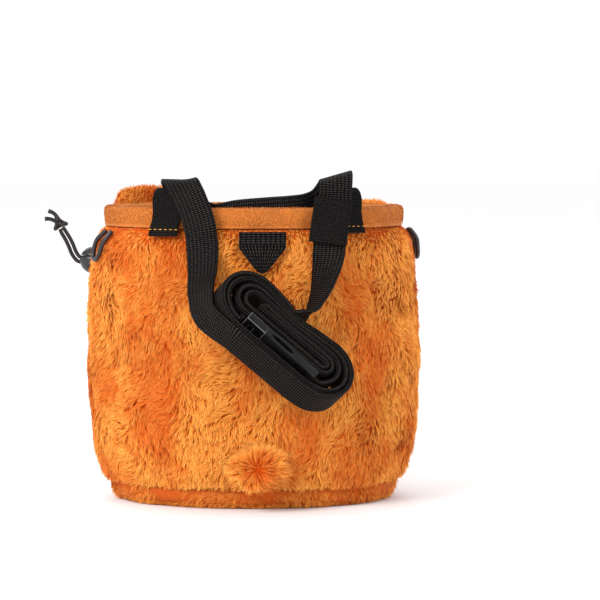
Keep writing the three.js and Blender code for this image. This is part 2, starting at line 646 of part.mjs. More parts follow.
// Drawstring: chosen route from the bag through the lock to the knot, one row of places for each strand
const LOCK_PLACE = new THREE.Vector3(-83.6, 26, 119.6);
const UPPER_STRAND = [[-76.9, 24.5, 120.75], [-80, 25.2, 120.75], [-84, 26.1, 120.75], [-88, 27, 120.75],
  [-90.9, 27.6, 121.3], [-92.9, 27.9, 124.2], [-94.4, 28.1, 127.9], [-96.2, 28.2, 131.4], [-98.2, 28.2, 134.6]];
const LOWER_STRAND = [[-77, 24.5, 118.45], [-80, 25.2, 118.45], [-84, 26.1, 118.45], [-88.4, 27.1, 118.45],
  [-91.8, 27.8, 118.9], [-94.7, 28.1, 122.2], [-96.5, 28.2, 126.4], [-98.3, 28.3, 130.2], [-100.4, 28.3, 133.8]];
const KNOT_PLACE = new THREE.Vector3(-101.4, 28.3, 138.6);

const routePoints = (rows) => rows.map((row) => new THREE.Vector3(...row));

// Ball lock: a slotted ball, split into a barrel and its push button
function lockPart(button) {
  const ball = solidOf(new THREE.SphereGeometry(LOCK_SIZE / 2, 14, 8).rotateX(Math.PI / 2)
    .translate(LOCK_PLACE.x, LOCK_PLACE.y, LOCK_PLACE.z));
  const cut = LOCK_PLACE.z + LOCK_SIZE * (0.5 - BUTTON_SHARE) + 0.4;
  const keep = new THREE.BoxGeometry(LOCK_SIZE * 2, LOCK_SIZE * 2, LOCK_SIZE)
    .translate(LOCK_PLACE.x, LOCK_PLACE.y, button ? cut + GAP + LOCK_SIZE / 2 : cut - LOCK_SIZE / 2);
  const slotShape = new THREE.BoxGeometry(LOCK_SIZE * 2, CORD + 0.7, 2 * CORD + 1);
  slotShape.rotateZ(-13 * DEG).translate(LOCK_PLACE.x, LOCK_PLACE.y, LOCK_PLACE.z);
  return geometryOf(ball.intersect(solidOf(keep)).subtract(solidOf(slotShape)));
}

// Knot: two turns of the cords and their two cut ends
function cordKnot() {
  const turnOf = (tiltX, tiltY, shift) => solidOf(new THREE.TorusGeometry(2.5, 1.2, 6, 8)
    .rotateX(tiltX).rotateY(tiltY).translate(...KNOT_PLACE.clone().add(shift).toArray()));
  const core = solidOf(new THREE.SphereGeometry(2.9, 8, 6).translate(...KNOT_PLACE.toArray()));
  const tail = (points) => solidOf(cordTube(routePoints(points).map((point) => point.add(KNOT_PLACE)), CORD, 3));
  return geometryOf([
    turnOf(0.5, 0.6, new THREE.Vector3(0.8, 0, -1.2)),
    turnOf(1.3, -0.7, new THREE.Vector3(-0.6, 0, 1)),
    tail([[0, 0, 1], [-1.6, 0, 4], [-3.6, 0.3, 5.6], [-5.4, 0.5, 6.2]]),
    tail([[-1, 0.5, 0], [-3.4, 0.4, 1.6], [-5.8, 0.2, 2.3], [-7.4, 0, 2.2]]),
  ].reduce((solid, piece) => solid.add(piece), core));
}

// Small cord loop at the side, hanging from the rim seam over the fur
function sideLoop(turnDegrees, leanDegrees) {
  const rows = [[-4.2, 0.02], [-6.0, 0.35], [-6.6, 0.68], [-5.2, 0.93], [-2.4, 1.0], [0.2, 0.84], [1.3, 0.45], [1.4, 0.02]];
  const points = rows.map(([sideways, drop]) => {
    const z = SEAM - SIDE_LOOP_CORD / 2 - GAP - SIDE_LOOP_DROP * drop;
    const locks = LOCK_LIFT * THREE.MathUtils.lerp(-0.15, 0.5, Math.min(drop * 2.5, 1));
    const half = furHalf(z) + locks + GAP + SIDE_LOOP_CORD / 2;
    const turn = (turnDegrees + (sideways + leanDegrees * (1 - drop)) * 0.95) * DEG;
    return planPoint(turn, half, z);
  });
  return cordTube(points, SIDE_LOOP_CORD, 10);
}

const finish = (color, roughness, metalness = 0) => new THREE.MeshStandardMaterial({ color, roughness, metalness });
const fur = finish(0xd9832f, 0.95);
const darkFur = finish(0xb9571f, 0.95);
const felt = finish(0xc97a3a, 0.9);
const lining = finish(0x8a4a20, 0.9);
const webbing = finish(0x232120, 0.75);
const plastic = finish(0x2a2729, 0.4);
const matte = finish(0x3d3840, 0.6);

const bag = new THREE.Group();
function add(name, geometry, material) {
  const mesh = new THREE.Mesh(geometry, material);
  mesh.name = name;
  bag.add(mesh);
}

add('body_wall', bodyWall(), lining);
add('side_fur', sideFur(), fur);
add('base_fur', baseFur(), darkFur);
add('rim_band', rimBand(), felt);
add('back_tab', backTab(), webbing);
add('tail_pompom', tailPompom(), fur);
add('ear_left', ear(Math.PI + 47 * DEG, LEFT_EAR_RISE), fur);
add('ear_right', ear(Math.PI - 45 * DEG, RIGHT_EAR_RISE), fur);
add('belt_loop_left', beltLoop(LEFT_LOOP_TURN, LEFT_HEM_DROP), webbing);
add('belt_loop_right', beltLoop(RIGHT_LOOP_TURN, RIGHT_HEM_DROP), webbing);
add('waist_belt', strap(waistBelt(), WEBBING_WIDTH, WEBBING), webbing);
add('belt_keeper', beltKeeper(), webbing);
add('buckle_socket', buckleSocket(), plastic);
add('buckle_clip', buckleClip(), plastic);
add('lock_barrel', lockPart(false), matte);
add('lock_button', lockPart(true), matte);
add('drawstring_upper', cordTube(routePoints(UPPER_STRAND), CORD, 10), webbing);
add('drawstring_lower', cordTube(routePoints(LOWER_STRAND), CORD, 10), webbing);
add('cord_knot', cordKnot(), webbing);
add('side_loop_left', sideLoop(-67, 4), plastic);
add('side_loop_right', sideLoop(101, -4), plastic);

export default bag;
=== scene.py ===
"""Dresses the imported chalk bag: fur pile, felt rim, webbing belt, buckle, ball lock and cords."""

from __future__ import annotations

import logging
import math
from dataclasses import dataclass, field, replace
from enum import Enum
from typing import Any, Callable, Sequence

import bmesh
import bpy
import numpy as np
from mathutils import Matrix, Vector


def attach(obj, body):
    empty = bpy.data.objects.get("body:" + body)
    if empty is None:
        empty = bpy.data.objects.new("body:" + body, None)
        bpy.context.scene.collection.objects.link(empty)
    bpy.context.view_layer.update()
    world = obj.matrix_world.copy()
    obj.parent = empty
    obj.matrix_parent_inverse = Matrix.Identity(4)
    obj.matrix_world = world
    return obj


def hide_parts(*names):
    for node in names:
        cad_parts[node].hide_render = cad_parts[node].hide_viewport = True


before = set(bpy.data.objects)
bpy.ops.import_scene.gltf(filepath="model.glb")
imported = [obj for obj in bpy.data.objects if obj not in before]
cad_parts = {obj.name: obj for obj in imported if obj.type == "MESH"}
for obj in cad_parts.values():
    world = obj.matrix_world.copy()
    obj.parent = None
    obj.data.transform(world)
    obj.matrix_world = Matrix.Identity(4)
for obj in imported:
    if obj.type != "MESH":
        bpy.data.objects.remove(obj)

MM = 0.001
MIDDLE_TONE = 0.5
LOG = logging.getLogger("chalk_bag")
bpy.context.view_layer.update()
Array = np.ndarray
Colour = tuple[float, float, float]
Point = tuple[float, float, float]
Row = tuple[float, float]
Piece = bpy.types.Object


def unit(rows: Array) -> Array:
    """Rows of vectors at length one."""
    size = np.linalg.norm(rows, axis=-1, keepdims=True)
    return rows / np.maximum(size, 1e-12)


def dot(a: Array, b: Array) -> Array:
    """Row by row dot product, kept as a column."""
    return np.sum(a * b, axis=-1, keepdims=True)


def ease(value: Array | float, low: float, high: float) -> Array | float:
    """Smooth step from 0 at low to 1 at high."""
    part = np.clip((np.asarray(value) - low) / (high - low), 0.0, 1.0)
    return part * part * (3 - 2 * part)


def circle(count: int, extra: int = 0) -> Array:
    """Turns evenly round a full circle; one extra turn closes it."""
    return np.linspace(0, 2 * np.pi, count + extra, endpoint=bool(extra))


def linear(colour: str) -> Colour:
    """Linear light values of a hexadecimal display colour."""
    parts = [int(colour[k : k + 2], 16) / 255 for k in (0, 2, 4)]
    return tuple(c / 12.92 if c <= 0.04045 else ((c + 0.055) / 1.055) ** 2.4 for c in parts)


# Sizes of the bag


@dataclass(frozen=True)
class BagForm:
    """Driving sizes of the bag in millimetres, with the oval plan worked out from them."""

    height: float = 149.0
    rim_width: float = 152.0
    body_width: float = 169.0
    body_depth: float = 141.0
    wall: float = 2.0
    pile: float = 6.2
    rim_height: float = 10.4
    rim_cloth: float = 1.2
    base_height: float = 10.6
    base_pile: float = 2.7
    gap: float = 0.35
    lock_lift: float = 2.2
    outline: tuple[Row, ...] = (
        (0.0, -0.044),
        (0.06, 0.353),
        (0.13, 0.652),
        (0.23, 0.881),
        (0.4, 1.0),
        (0.58, 0.96),
        (0.75, 0.851),
        (0.88, 0.682),
        (0.95, 0.553),
        (0.985, 0.304),
        (1.0, -0.024),
    )
    pile_outline: tuple[Row, ...] = (
        (0.0, 0.45),
        (0.1, 0.9),
        (0.2, 1.0),
        (0.85, 1.0),
        (0.95, 0.8),
        (1.0, 0.2),
    )

    @property
    def seam(self) -> float:
        """Height of the seam between the fur and the rim."""
        return self.height - self.rim_height

    @property
    def rim_half(self) -> float:
        """Half width over the rim."""
        return self.rim_width / 2

    @property
    def rim_thick(self) -> float:
        """Thickness of the rim: two layers of felt over the wall."""
        return 2 * self.rim_cloth + 2 * self.gap + self.wall

    @property
    def difference(self) -> float:
        """How much less the half depth is than the half width."""
        return (self.body_width - self.body_depth) / 2

    def share(self, z: Array | float) -> Array | float:
        """Share of the way from the base seam to the rim seam."""
        return (np.asarray(z, float) - self.base_height) / (self.seam - self.base_height)

    def fur_half(self, z: Array | float) -> Array | float:
        """Half width over the smooth fur surface at a height.

        Args:
            z: height in millimetres.

        Returns:
            The half width.
        """
        rows = np.array(self.outline)
        swell = np.interp(self.share(z), rows[:, 0], rows[:, 1])
        return self.rim_half + swell * (self.body_width / 2 - self.rim_half)

    def tip_half(self, z: Array | float) -> Array | float:
        """Half width over the tips of the fur's locks at a height."""
        return self.fur_half(z) + self.lock_lift * 0.5

    def wall_half(self, z: Array | float) -> Array | float:
        """Half width of the outside of the cloth wall at a height.

        Args:
            z: height in millimetres.

        Returns:
            The half width.
        """
        rows = np.array(self.pile_outline)
        share = self.share(z)
        top = self.rim_half - self.rim_cloth - self.gap
        under = np.minimum(share, 0) * self.pile * 4
        part = np.interp(share, rows[:, 0], rows[:, 1]) * self.pile
        mix = ease(share, 0.8, 1.0)
        return (self.fur_half(z) - part + under) * (1 - mix) + top * mix

    def point(self, turn: Array | float, half: Array | float, z: Array | float) -> Array:
        """Points of the oval plan; turn 0 faces -Y and a quarter turn faces +X.

        Args:
            turn: place round the bag.
            half: half width there.
            z: height in millimetres.

        Returns:
            One row of three for each place.
        """
        turn, half, z = np.broadcast_arrays(turn, half, z)
        depth = half - self.difference
        return np.stack([half * np.sin(turn), -depth * np.cos(turn), z + 0.0 * half], axis=-1)

    def depth(self, x: Array | float, half: Array | float) -> Array | float:
        """Distance of the oval's face from the middle plane at a place across."""
        inside = np.maximum(1 - (np.asarray(x) / half) ** 2, 0)
        return (half - self.difference) * np.sqrt(inside)

    def normal(self, turn: Array | float, half: float) -> Array:
        """Outward direction of the oval plan at a turn.

        Args:
            turn: place round the bag.
            half: half width there.

        Returns:
            The direction, at length one.
        """
        turn = np.asarray(turn, float)
        depth = half - self.difference
        rows = np.stack([np.sin(turn) / half, -np.cos(turn) / depth, 0.0 * turn], axis=-1)
        return unit(rows)


FORM = BagForm()


# Mesh building


def clean_normals(mesh: bpy.types.Mesh) -> None:
    """Turns the faces of a closed mesh outwards.

    Args:
        mesh: the closed mesh, changed in place.
    """
    work = bmesh.new()
    work.from_mesh(mesh)
    bmesh.ops.recalc_face_normals(work, faces=work.faces)
    work.to_mesh(mesh)
    work.free()


def new_object(name: str, mesh: bpy.types.Mesh) -> Piece:
    """Object that shows a mesh, at the origin.

    Args:
        name: name of the object.
        mesh: what it shows.

    Returns:
        The object.
    """
    made = bpy.data.objects.new(name, mesh)
    bpy.context.scene.collection.objects.link(made)
    return made


def polygon_object(name: str, points: Array, faces: Sequence[Sequence[int]]) -> Piece:
    """Smooth shaded object from points and faces.

    Args:
        name: name of the object and its mesh.
        points: places in millimetres, one row each.
        faces: corner numbers of each face.

    Returns:
        The object, at the origin.
    """
    mesh = bpy.data.meshes.new(name)
    mesh.from_pydata((np.asarray(points, float) * MM).tolist(), [], [list(f) for f in faces])
    mesh.polygons.foreach_set("use_smooth", [True] * len(mesh.polygons))
    mesh.update()
    return new_object(name, mesh)


def grid_object(
    name: str,
    points: Array,
    around: bool = False,
    along: bool = False,
    caps: bool = False,
    turned: bool = False,
) -> Piece:
    """Object skinned over a grid of points, with a UV map in metres along both ways.

    Args:
        name: name of the object and its mesh.
        points: rows by columns by three, in millimetres.
        around: whether the last column joins the first.
        along: whether the last row joins the first.
        caps: whether the first and last rows are closed with a face.
        turned: whether the faces run the other way round.

    Returns:
        The object, at the origin.
    """
    rows, columns = points.shape[:2]
    spans, sides = rows - (not along), columns - (not around)
    i, j = np.meshgrid(np.arange(spans), np.arange(sides), indexing="ij")
    i2, j2 = (i + 1) % rows, (j + 1) % columns
    corners = [(i, j), (i, j2), (i2, j2), (i2, j)]
    quads = np.stack([a * columns + b for a, b in corners], axis=-1).reshape(-1, 4)
    step_u = np.linalg.norm(np.diff(points, axis=1, append=points[:, :1]), axis=2).mean(axis=0)
    step_v = np.linalg.norm(np.diff(points, axis=0, append=points[:1]), axis=2).mean(axis=1)
    u = np.concatenate([[0.0], np.cumsum(step_u)]) * MM
    v = np.concatenate([[0.0], np.cumsum(step_v)]) * MM
    places = [(i, j), (i, j + 1), (i + 1, j + 1), (i + 1, j)]
    uv = np.stack([np.stack([u[b], v[a]], axis=-1) for a, b in places], axis=2).reshape(-1, 2)
    if turned:
        quads = quads[:, ::-1]
        uv = uv.reshape(-1, 4, 2)[:, ::-1].reshape(-1, 2)
    faces = [tuple(q) for q in quads.tolist()]
    if caps:
        first = list(range(columns))
        last = list(range((rows - 1) * columns, rows * columns))
        faces += [tuple(first[::-1]), tuple(last)]
        uv = np.vstack([uv, np.zeros((2 * columns, 2))])
    made = polygon_object(name, points.reshape(-1, 3), faces)
    layer = made.data.uv_layers.new(name="UVMap")
    layer.data.foreach_set("uv", uv.ravel())
    if caps or (around and along):
        clean_normals(made.data)
    return made


def float_attribute(obj: Piece, name: str, values: Array) -> None:
    """Stores one number on each vertex of an object."""
    layer = obj.data.attributes.new(name, "FLOAT", "POINT")
    layer.data.foreach_set("value", np.asarray(values, np.float32).ravel())


def vector_attribute(obj: Piece, name: str, values: Array) -> None:
    """Stores one vector on each vertex of an object."""
    layer = obj.data.attributes.new(name, "FLOAT_VECTOR", "POINT")
    layer.data.foreach_set("vector", np.asarray(values, np.float32).ravel())


def even_tone(obj: Piece, along: float) -> None:
    """Marks a whole piece with one depth in the pile and the middle tone."""
    for name, value in (("along", along), ("tone", MIDDLE_TONE)):
        float_attribute(obj, name, np.full(len(obj.data.vertices), value))


def joined(name: str, parts: Sequence[Piece]) -> Piece:
    """One object from several, which are used up.

    Args:
        name: name of the result.
        parts: the objects to join.

    Returns:
        The one object.
    """
    bpy.ops.object.select_all(action="DESELECT")
    for part in parts:
        part.select_set(True)
    bpy.context.view_layer.objects.active = parts[0]
    bpy.ops.object.join()
    parts[0].name = name
    parts[0].data.name = name
    return parts[0]


def baked(obj: Piece, name: str) -> Piece:
    """Plain object with an object's modifiers applied; the first is removed.

    Args:
        obj: object with live modifiers.
        name: name of the plain object.

    Returns:
        The plain object, at the origin.
    """
    graph = bpy.context.evaluated_depsgraph_get()
    mesh = bpy.data.meshes.new_from_object(obj.evaluated_get(graph), depsgraph=graph)
    bpy.data.objects.remove(obj)
    mesh.name = name
    return new_object(name, mesh)


def catmull(points: Array, places: Array) -> Array:
    """Points of a centripetal Catmull-Rom curve.

    Args:
        points: the points that the curve goes through.
        places: where to read it, from 0 at the first point to 1 at the last.

    Returns:
        One row for each place.
    """
    points = np.asarray(points, float)
    count = len(points) - 1
    at = np.asarray(places, float) * count
    row = np.minimum(at.astype(int), count - 1)
    part = (at - row)[:, None]
    ends = np.vstack([2 * points[0] - points[1], points, 2 * points[-1] - points[-2]])
    p0, p1, p2, p3 = (ends[row + k] for k in range(4))
    d0, d1, d2 = (
        np.sqrt(np.maximum(np.linalg.norm(b - a, axis=1), 1e-8))[:, None]
        for a, b in ((p0, p1), (p1, p2), (p2, p3))
    )
    out = ((p1 - p0) / d0 - (p2 - p0) / (d0 + d1) + (p2 - p1) / d1) * d1
    into = ((p2 - p1) / d1 - (p3 - p1) / (d1 + d2) + (p3 - p2) / d2) * d1
    square = -3 * p1 + 3 * p2 - 2 * out - into
    cube = 2 * p1 - 2 * p2 + out + into
    return p1 + out * part + square * part**2 + cube * part**3


@dataclass
class Route:
    """Even stations along a strap or cord, in millimetres."""

    middle: Array
    across: Array

    @property
    def travel(self) -> Array:
        """Direction of travel at each station."""
        return unit(np.gradient(self.middle, axis=0))

    def sides(self) -> tuple[Array, Array]:
        """Width direction and face direction at each station.

        Returns:
            The width directions and the face directions.
        """
        travel = self.travel
        side = unit(self.across - dot(self.across, travel) * travel)
        return side, np.cross(travel, side)

    def evened(self, step: float) -> "Route":
        """The same route with stations a step apart.

        Args:
            step: distance between stations.

        Returns:
            The new route.
        """
        place = np.concatenate(
            [[0.0], np.cumsum(np.linalg.norm(np.diff(self.middle, axis=0), axis=1))]
        )
        count = max(int(round(place[-1] / step)), 2)
        at = np.linspace(0.0, place[-1], count + 1)
        middle = np.stack([np.interp(at, place, self.middle[:, k]) for k in range(3)], axis=1)
        across = np.stack([np.interp(at, place, self.across[:, k]) for k in range(3)], axis=1)
        return Route(middle, unit(across))

    @staticmethod
    def through(points: Array, across: Array, step: float) -> "Route":
        """Smooth route through stations.

        Args:
            points: middles of the stations.
            across: width direction at each station.
            step: distance between the stations of the route.

        Returns:
            The route, with even stations.
        """
        count = (len(points) - 1) * 40
        places = np.linspace(0, 1, count + 1)
        at = places * (len(points) - 1)
        wide = np.stack(
            [np.interp(at, np.arange(len(across)), np.asarray(across)[:, k]) for k in range(3)],
            axis=1,
        )
        return Route(catmull(points, places), unit(wide)).evened(step)


@dataclass(frozen=True)
class Weave:
    """Strap section: width and thickness in millimetres and how high its ribs stand."""

    width: float
    thick: float
    rib: float = 0.1
    columns: int = 9

    def ribbon(self, name: str, route: Route) -> Piece:
        """Ribbed strap along a route.

        Args:
            name: name of the piece.
            route: even stations, two to each rib.

        Returns:
            The closed strap.
        """
        side, face = route.sides()
        half, thick = self.width / 2, self.thick / 2
        flat = np.linspace(-1, 1, self.columns) * (half - 0.35)
        upper = [(x, thick) for x in flat]
        lower = [(x, -thick) for x in flat[::-1]]
        edge = [(half, thick * 0.45), (half, -thick * 0.45)]
        section = np.array(upper + edge + lower + [(-a, -b) for a, b in edge])
        ribs = 1 - self.rib * (np.arange(len(route.middle)) % 2)
        height = section[:, 1][None, :] * ribs[:, None]
        points = (
            route.middle[:, None, :]
            + side[:, None, :] * section[:, 0][None, :, None]
            + face[:, None, :] * height[:, :, None]
        )
        return grid_object(name, points, around=True, caps=True)


def frayed(share: Array) -> Array:
    """Share of a cord's thickness along it, where its cut end opens."""
    return 1 + 0.18 * share**6


def round_tube(
    name: str,
    path: Array,
    diameter: float,
    sides: int = 12,
    swell: Callable[[Array], Array] | None = None,
) -> Piece:
    """Round cord along even points.

    Args:
        name: name of the piece.
        path: points in millimetres.
        diameter: width of the cord in millimetres.
        sides: number of faces around it.
        swell: share of the diameter at each share of the length.

    Returns:
        The closed tube.
    """
    travel = unit(np.gradient(path, axis=0))
    side = np.zeros_like(path)
    start = np.array([0.0, 0.0, 1.0]) if abs(travel[0, 2]) < 0.9 else np.array([1.0, 0.0, 0.0])
    for k, way in enumerate(travel):
        start = unit(start - np.dot(start, way) * way)
        side[k] = start
    other = np.cross(travel, side)
    turn = circle(sides)
    size = np.ones(len(path)) if swell is None else swell(np.linspace(0, 1, len(path)))
    ring = (
        side[:, None, :] * np.cos(turn)[None, :, None]
        + other[:, None, :] * np.sin(turn)[None, :, None]
    )
    points = path[:, None, :] + ring * (diameter / 2 * size)[:, None, None]
    return grid_object(name, points, around=True, caps=True)


# Node building


class Nodes:
    """Adds nodes to a shader or geometry tree and joins them."""

    def __init__(self, tree: bpy.types.NodeTree) -> None:
        """Keeps the tree that the nodes go in."""
        self.tree = tree

    def add(self, kind: str, inputs: dict[Any, Any] | None = None, **settings: Any) -> Any:
        """Adds one node.

        Args:
            kind: Blender's name of the node type.
            inputs: sockets or plain values by input name or number.
            **settings: properties of the node.

        Returns:
            The node.
        """
        node = self.tree.nodes.new(kind)
        for name, value in settings.items():
            setattr(node, name, value)
        for key, value in (inputs or {}).items():
            socket = node.inputs[key]
            if isinstance(value, bpy.types.NodeSocket):
                self.tree.links.new(value, socket)
            else:
                socket.default_value = value
        return node

    def math(self, kind: str, a: Any, b: Any = 0.0, c: Any = 0.0) -> Any:
        """Number from up to three numbers."""
        return self.add("ShaderNodeMath", {0: a, 1: b, 2: c}, operation=kind).outputs[0]

    def plus(self, a: Any, b: Any) -> Any:
        """Sum of two numbers."""
        return self.math("ADD", a, b)

    def minus(self, a: Any, b: Any) -> Any:
        """Difference of two numbers."""
        return self.math("SUBTRACT", a, b)

    def times(self, a: Any, b: Any) -> Any:
        """Product of two numbers."""
        return self.math("MULTIPLY", a, b)

    def vector(self, kind: str, a: Any, b: Any = (0.0, 0.0, 0.0)) -> Any:
        """Vector or number from two vectors."""
        node = self.add("ShaderNodeVectorMath", {0: a, 1: b}, operation=kind)
        return node.outputs["Value" if kind in ("DOT_PRODUCT", "LENGTH") else "Vector"]

    def scaled(self, vector: Any, size: Any) -> Any:
        """Vector times a number."""
        node = self.add("ShaderNodeVectorMath", {0: vector, "Scale": size}, operation="SCALE")
        return node.outputs["Vector"]

    def spread(self, value: Any, low: float, high: float, to_low: float, to_high: float) -> Any:
        """Number moved from one range to another, held at its ends."""
        node = self.add("ShaderNodeMapRange", {0: value, 1: low, 2: high, 3: to_low, 4: to_high})
        return node.outputs[0]

    def noise(self, vector: Any, scale: Any, detail: float = 2.0, rough: float = 0.5) -> Any:
        """Value of a three-dimensional noise."""
        inputs = {"Vector": vector, "Scale": scale, "Detail": detail, "Roughness": rough}
        return self.add("ShaderNodeTexNoise", inputs).outputs[0]

    def blend(self, part: Any, a: Any, b: Any, kind: str = "MIX") -> Any:
        """Colour between two colours, each a socket, a hexadecimal colour or linear numbers.

        Args:
            part: share of the second colour.
            a: first colour.
            b: second colour.
            kind: how they are mixed.

        Returns:
            The colour's socket.
        """
        node = self.add("ShaderNodeMix", {0: part}, data_type="RGBA", blend_type=kind)
        for key, value in ((6, a), (7, b)):
            if isinstance(value, bpy.types.NodeSocket):
                self.tree.links.new(value, node.inputs[key])
            else:
                plain = linear(value) if isinstance(value, str) else value
                node.inputs[key].default_value = (*plain, 1.0)
        return node.outputs[2]


class Paint(Nodes):
    """A new material with one surface shader."""

    def __init__(self, name: str, **constants: Any) -> None:
        """Makes the material; constants are set on the shader's own sockets.

        Args:
            name: name of the material.
            **constants: values of inputs, with _ for a space.
        """
        self.material = bpy.data.materials.new(name)
        self.material.use_nodes = True
        super().__init__(self.material.node_tree)
        self.tree.nodes.clear()
        self.shader = self.add("ShaderNodeBsdfPrincipled")
        out = self.add("ShaderNodeOutputMaterial")
        self.tree.links.new(self.shader.outputs[0], out.inputs["Surface"])
        for name_, value in constants.items():
            self.shader.inputs[name_.replace("_", " ")].default_value = value

    def set(self, name: str, socket: Any) -> None:
        """Joins a socket to an input of the shader."""
        self.tree.links.new(socket, self.shader.inputs[name])

    def tint(self, part: Any, a: Any, b: Any) -> None:
        """Colours the surface between two colours."""
        self.set("Base Color", self.blend(part, a, b))

    def place(self) -> Any:
        """Object coordinates."""
        return self.add("ShaderNodeTexCoord").outputs["Object"]

    def chart(self) -> tuple[Any, Any]:
        """The two numbers of the piece's own UV map, in metres.

        Returns:
            The sockets of the place across and the place along.
        """
        uv = self.add("ShaderNodeUVMap", uv_map="UVMap").outputs[0]
        split = self.add("ShaderNodeSeparateXYZ", {0: uv})
        return split.outputs[0], split.outputs[1]

    def number(self, name: str) -> Any:
        """Number stored on the piece under a name."""
        return self.add("ShaderNodeAttribute", attribute_name=name).outputs["Fac"]

    def raise_by(self, height: Any, distance: float, strength: float = 1.0) -> None:
        """Bumps the surface by a height."""
        inputs = {"Height": height, "Distance": distance, "Strength": strength}
        self.set("Normal", self.add("ShaderNodeBump", inputs).outputs[0])


@dataclass(frozen=True)
class PileFinish:
    """Plush pile: dark at the root, golden at the tip, with clumps of other tones and darker
    patches that are partly random tone and partly painted shade.
    """

    name: str = "plush_pile"
    root: str = "A03404"
    middle: str = "E67C1C"
    tip: str = "FFBE5C"
    # Colour of the darker patches: partly random tone, partly painted shade for valleys and brushed
    # pile.
    patch: str = "D85C10"
    shade_patch_size: float = 0.034

    def make(self) -> bpy.types.Material:
        """Builds the material.

        Returns:
            The new material.
        """
        paint = Paint(
            self.name,
            Roughness=0.68,
            Sheen_Weight=0.08,
            Sheen_Roughness=0.45,
            Sheen_Tint=(1.0, 0.66, 0.3, 1.0),
            Specular_IOR_Level=0.14,
        )
        along, tone = paint.number("along"), paint.number("tone")
        place = paint.place()
        low = paint.blend(paint.spread(along, 0.0, 0.55, 0, 1), self.root, self.middle)
        high = paint.blend(paint.spread(along, 0.45, 1.0, 0, 1), low, self.tip)
        # Painted shade: stretched noise patches darken the pile towards the patch colour, most near
        # the roots; partly random tone, partly standing in for shade in valleys and brushed areas.
        brushed = paint.vector("MULTIPLY", place, (1.0, 1.0, 0.7))
        wide = paint.noise(brushed, 1 / self.shade_patch_size, 4.0, 0.62)
        patch = paint.spread(wide, 0.46, 0.62, 0.0, 1.0)
        under = paint.spread(along, 0.3, 1.0, 1.0, 0.55)
        shade = paint.blend(paint.times(patch, under), high, self.patch)
        dark = paint.blend(1.0, shade, (0.82, 0.64, 0.46), "MULTIPLY")
        colour = paint.blend(paint.spread(tone, 0.0, 0.5, 0.7, 0.0), shade, dark)
        paint.set("Base Color", colour)
        return paint.material


@dataclass(frozen=True)
class FeltFinish:
    """Short brushed nap of the rim, with a rubbed and mottled look."""

    name: str = "brushed_felt"
    colour: str = "C06A28"
    worn: str = "D48640"
    deep: str = "9A4E18"

    def make(self) -> bpy.types.Material:
        """Builds the material.

        Returns:
            The new material.
        """
        paint = Paint(
            self.name,
            Roughness=0.85,
            Sheen_Weight=0.2,
            Sheen_Roughness=0.5,
            Sheen_Tint=(1.0, 0.8, 0.55, 1.0),
            Specular_IOR_Level=0.2,
        )
        place = paint.place()
        mottled = paint.noise(place, 90.0, 4.0, 0.6)
        hair = paint.noise(paint.vector("MULTIPLY", place, (900.0, 900.0, 2600.0)), 1.0, 2.0)
        base = paint.blend(paint.spread(mottled, 0.35, 0.65, 0, 1), self.deep, self.colour)
        top = paint.blend(paint.spread(hair, 0.42, 0.72, 0, 0.75), base, self.worn)
        dust = paint.noise(place, 18.0, 2.0)
        paint.tint(paint.spread(dust, 0.45, 0.8, 0, 0.35), top, self.worn)
        paint.raise_by(paint.plus(hair, mottled), 0.0003, 0.6)
        return paint.material


@dataclass(frozen=True)
class WeaveFinish:
    """Woven cloth on its own UV map: ribs across the piece, cut into dashes by its cords, with the
    raised crowns painted lighter as a painted highlight.

    The stagger moves the dashes of neighbouring cords against each other; beyond the fold,
    a distance along the piece, the ribs run lengthways.
    """

    name: str
    dark: str
    light: str
    cords: float
    ribs: float
    depth: float = 0.00022
    roughness: float = 0.66
    shine: float = 0.06
    stagger: float = 1.4
    fold: float = 9.0

    def make(self) -> bpy.types.Material:
        """Builds the material.

        Returns:
            The new material.
        """
        paint = Paint(self.name, Roughness=self.roughness, Specular_IOR_Level=self.shine)
        u, v = paint.chart()
        beyond = paint.math("GREATER_THAN", v, self.fold)
        swap = paint.times(beyond, paint.minus(u, v))
        along = paint.plus(v, swap)
        across = paint.minus(u, swap)
        cord = paint.times(across, 2 * math.pi / self.cords)
        rib = paint.times(along, 2 * math.pi / self.ribs)
        shift = paint.math("SINE", paint.times(cord, 0.5))
        rib = paint.plus(rib, paint.times(shift, self.stagger))
        dash = paint.spread(paint.math("COSINE", cord), -1.0, 0.2, 0.45, 1.0)
        ridge = paint.spread(paint.math("COSINE", rib), -1.0, 1.0, 0.0, 1.0)
        fuzz = paint.spread(paint.noise(paint.place(), 1100.0, 2.0), 0.3, 0.7, 0.7, 1.25)
        height = paint.times(ridge, dash)
        # Painted highlight: the rib crowns take the lighter colour and the grooves keep the dark
        # one.
        light = paint.spread(paint.times(height, fuzz), 0.4, 0.95, 0.0, 1.0)
        paint.tint(light, self.dark, self.light)
        paint.raise_by(height, self.depth)
        return paint.material


@dataclass(frozen=True)
class PlasticFinish:
    """Moulded plastic with a fine grain and rubbed high spots."""

    name: str
    colour: str
    rubbed: str
    roughness: float
    grain: float = 0.00004
    shine: float = 0.5

    def make(self) -> bpy.types.Material:
        """Builds the material.

        Returns:
            The new material.
        """
        paint = Paint(self.name, Specular_IOR_Level=self.shine)
        place = paint.place()
        grain = paint.noise(place, 2600.0, 2.0)
        cloud = paint.noise(place, 120.0, 3.0)
        part = paint.spread(cloud, 0.45, 0.75, 0.0, 0.5)
        paint.tint(part, self.colour, self.rubbed)
        rough = paint.spread(cloud, 0.3, 0.7, self.roughness - 0.06, self.roughness + 0.08)
        paint.set("Roughness", rough)
        paint.raise_by(grain, self.grain)
        return paint.material


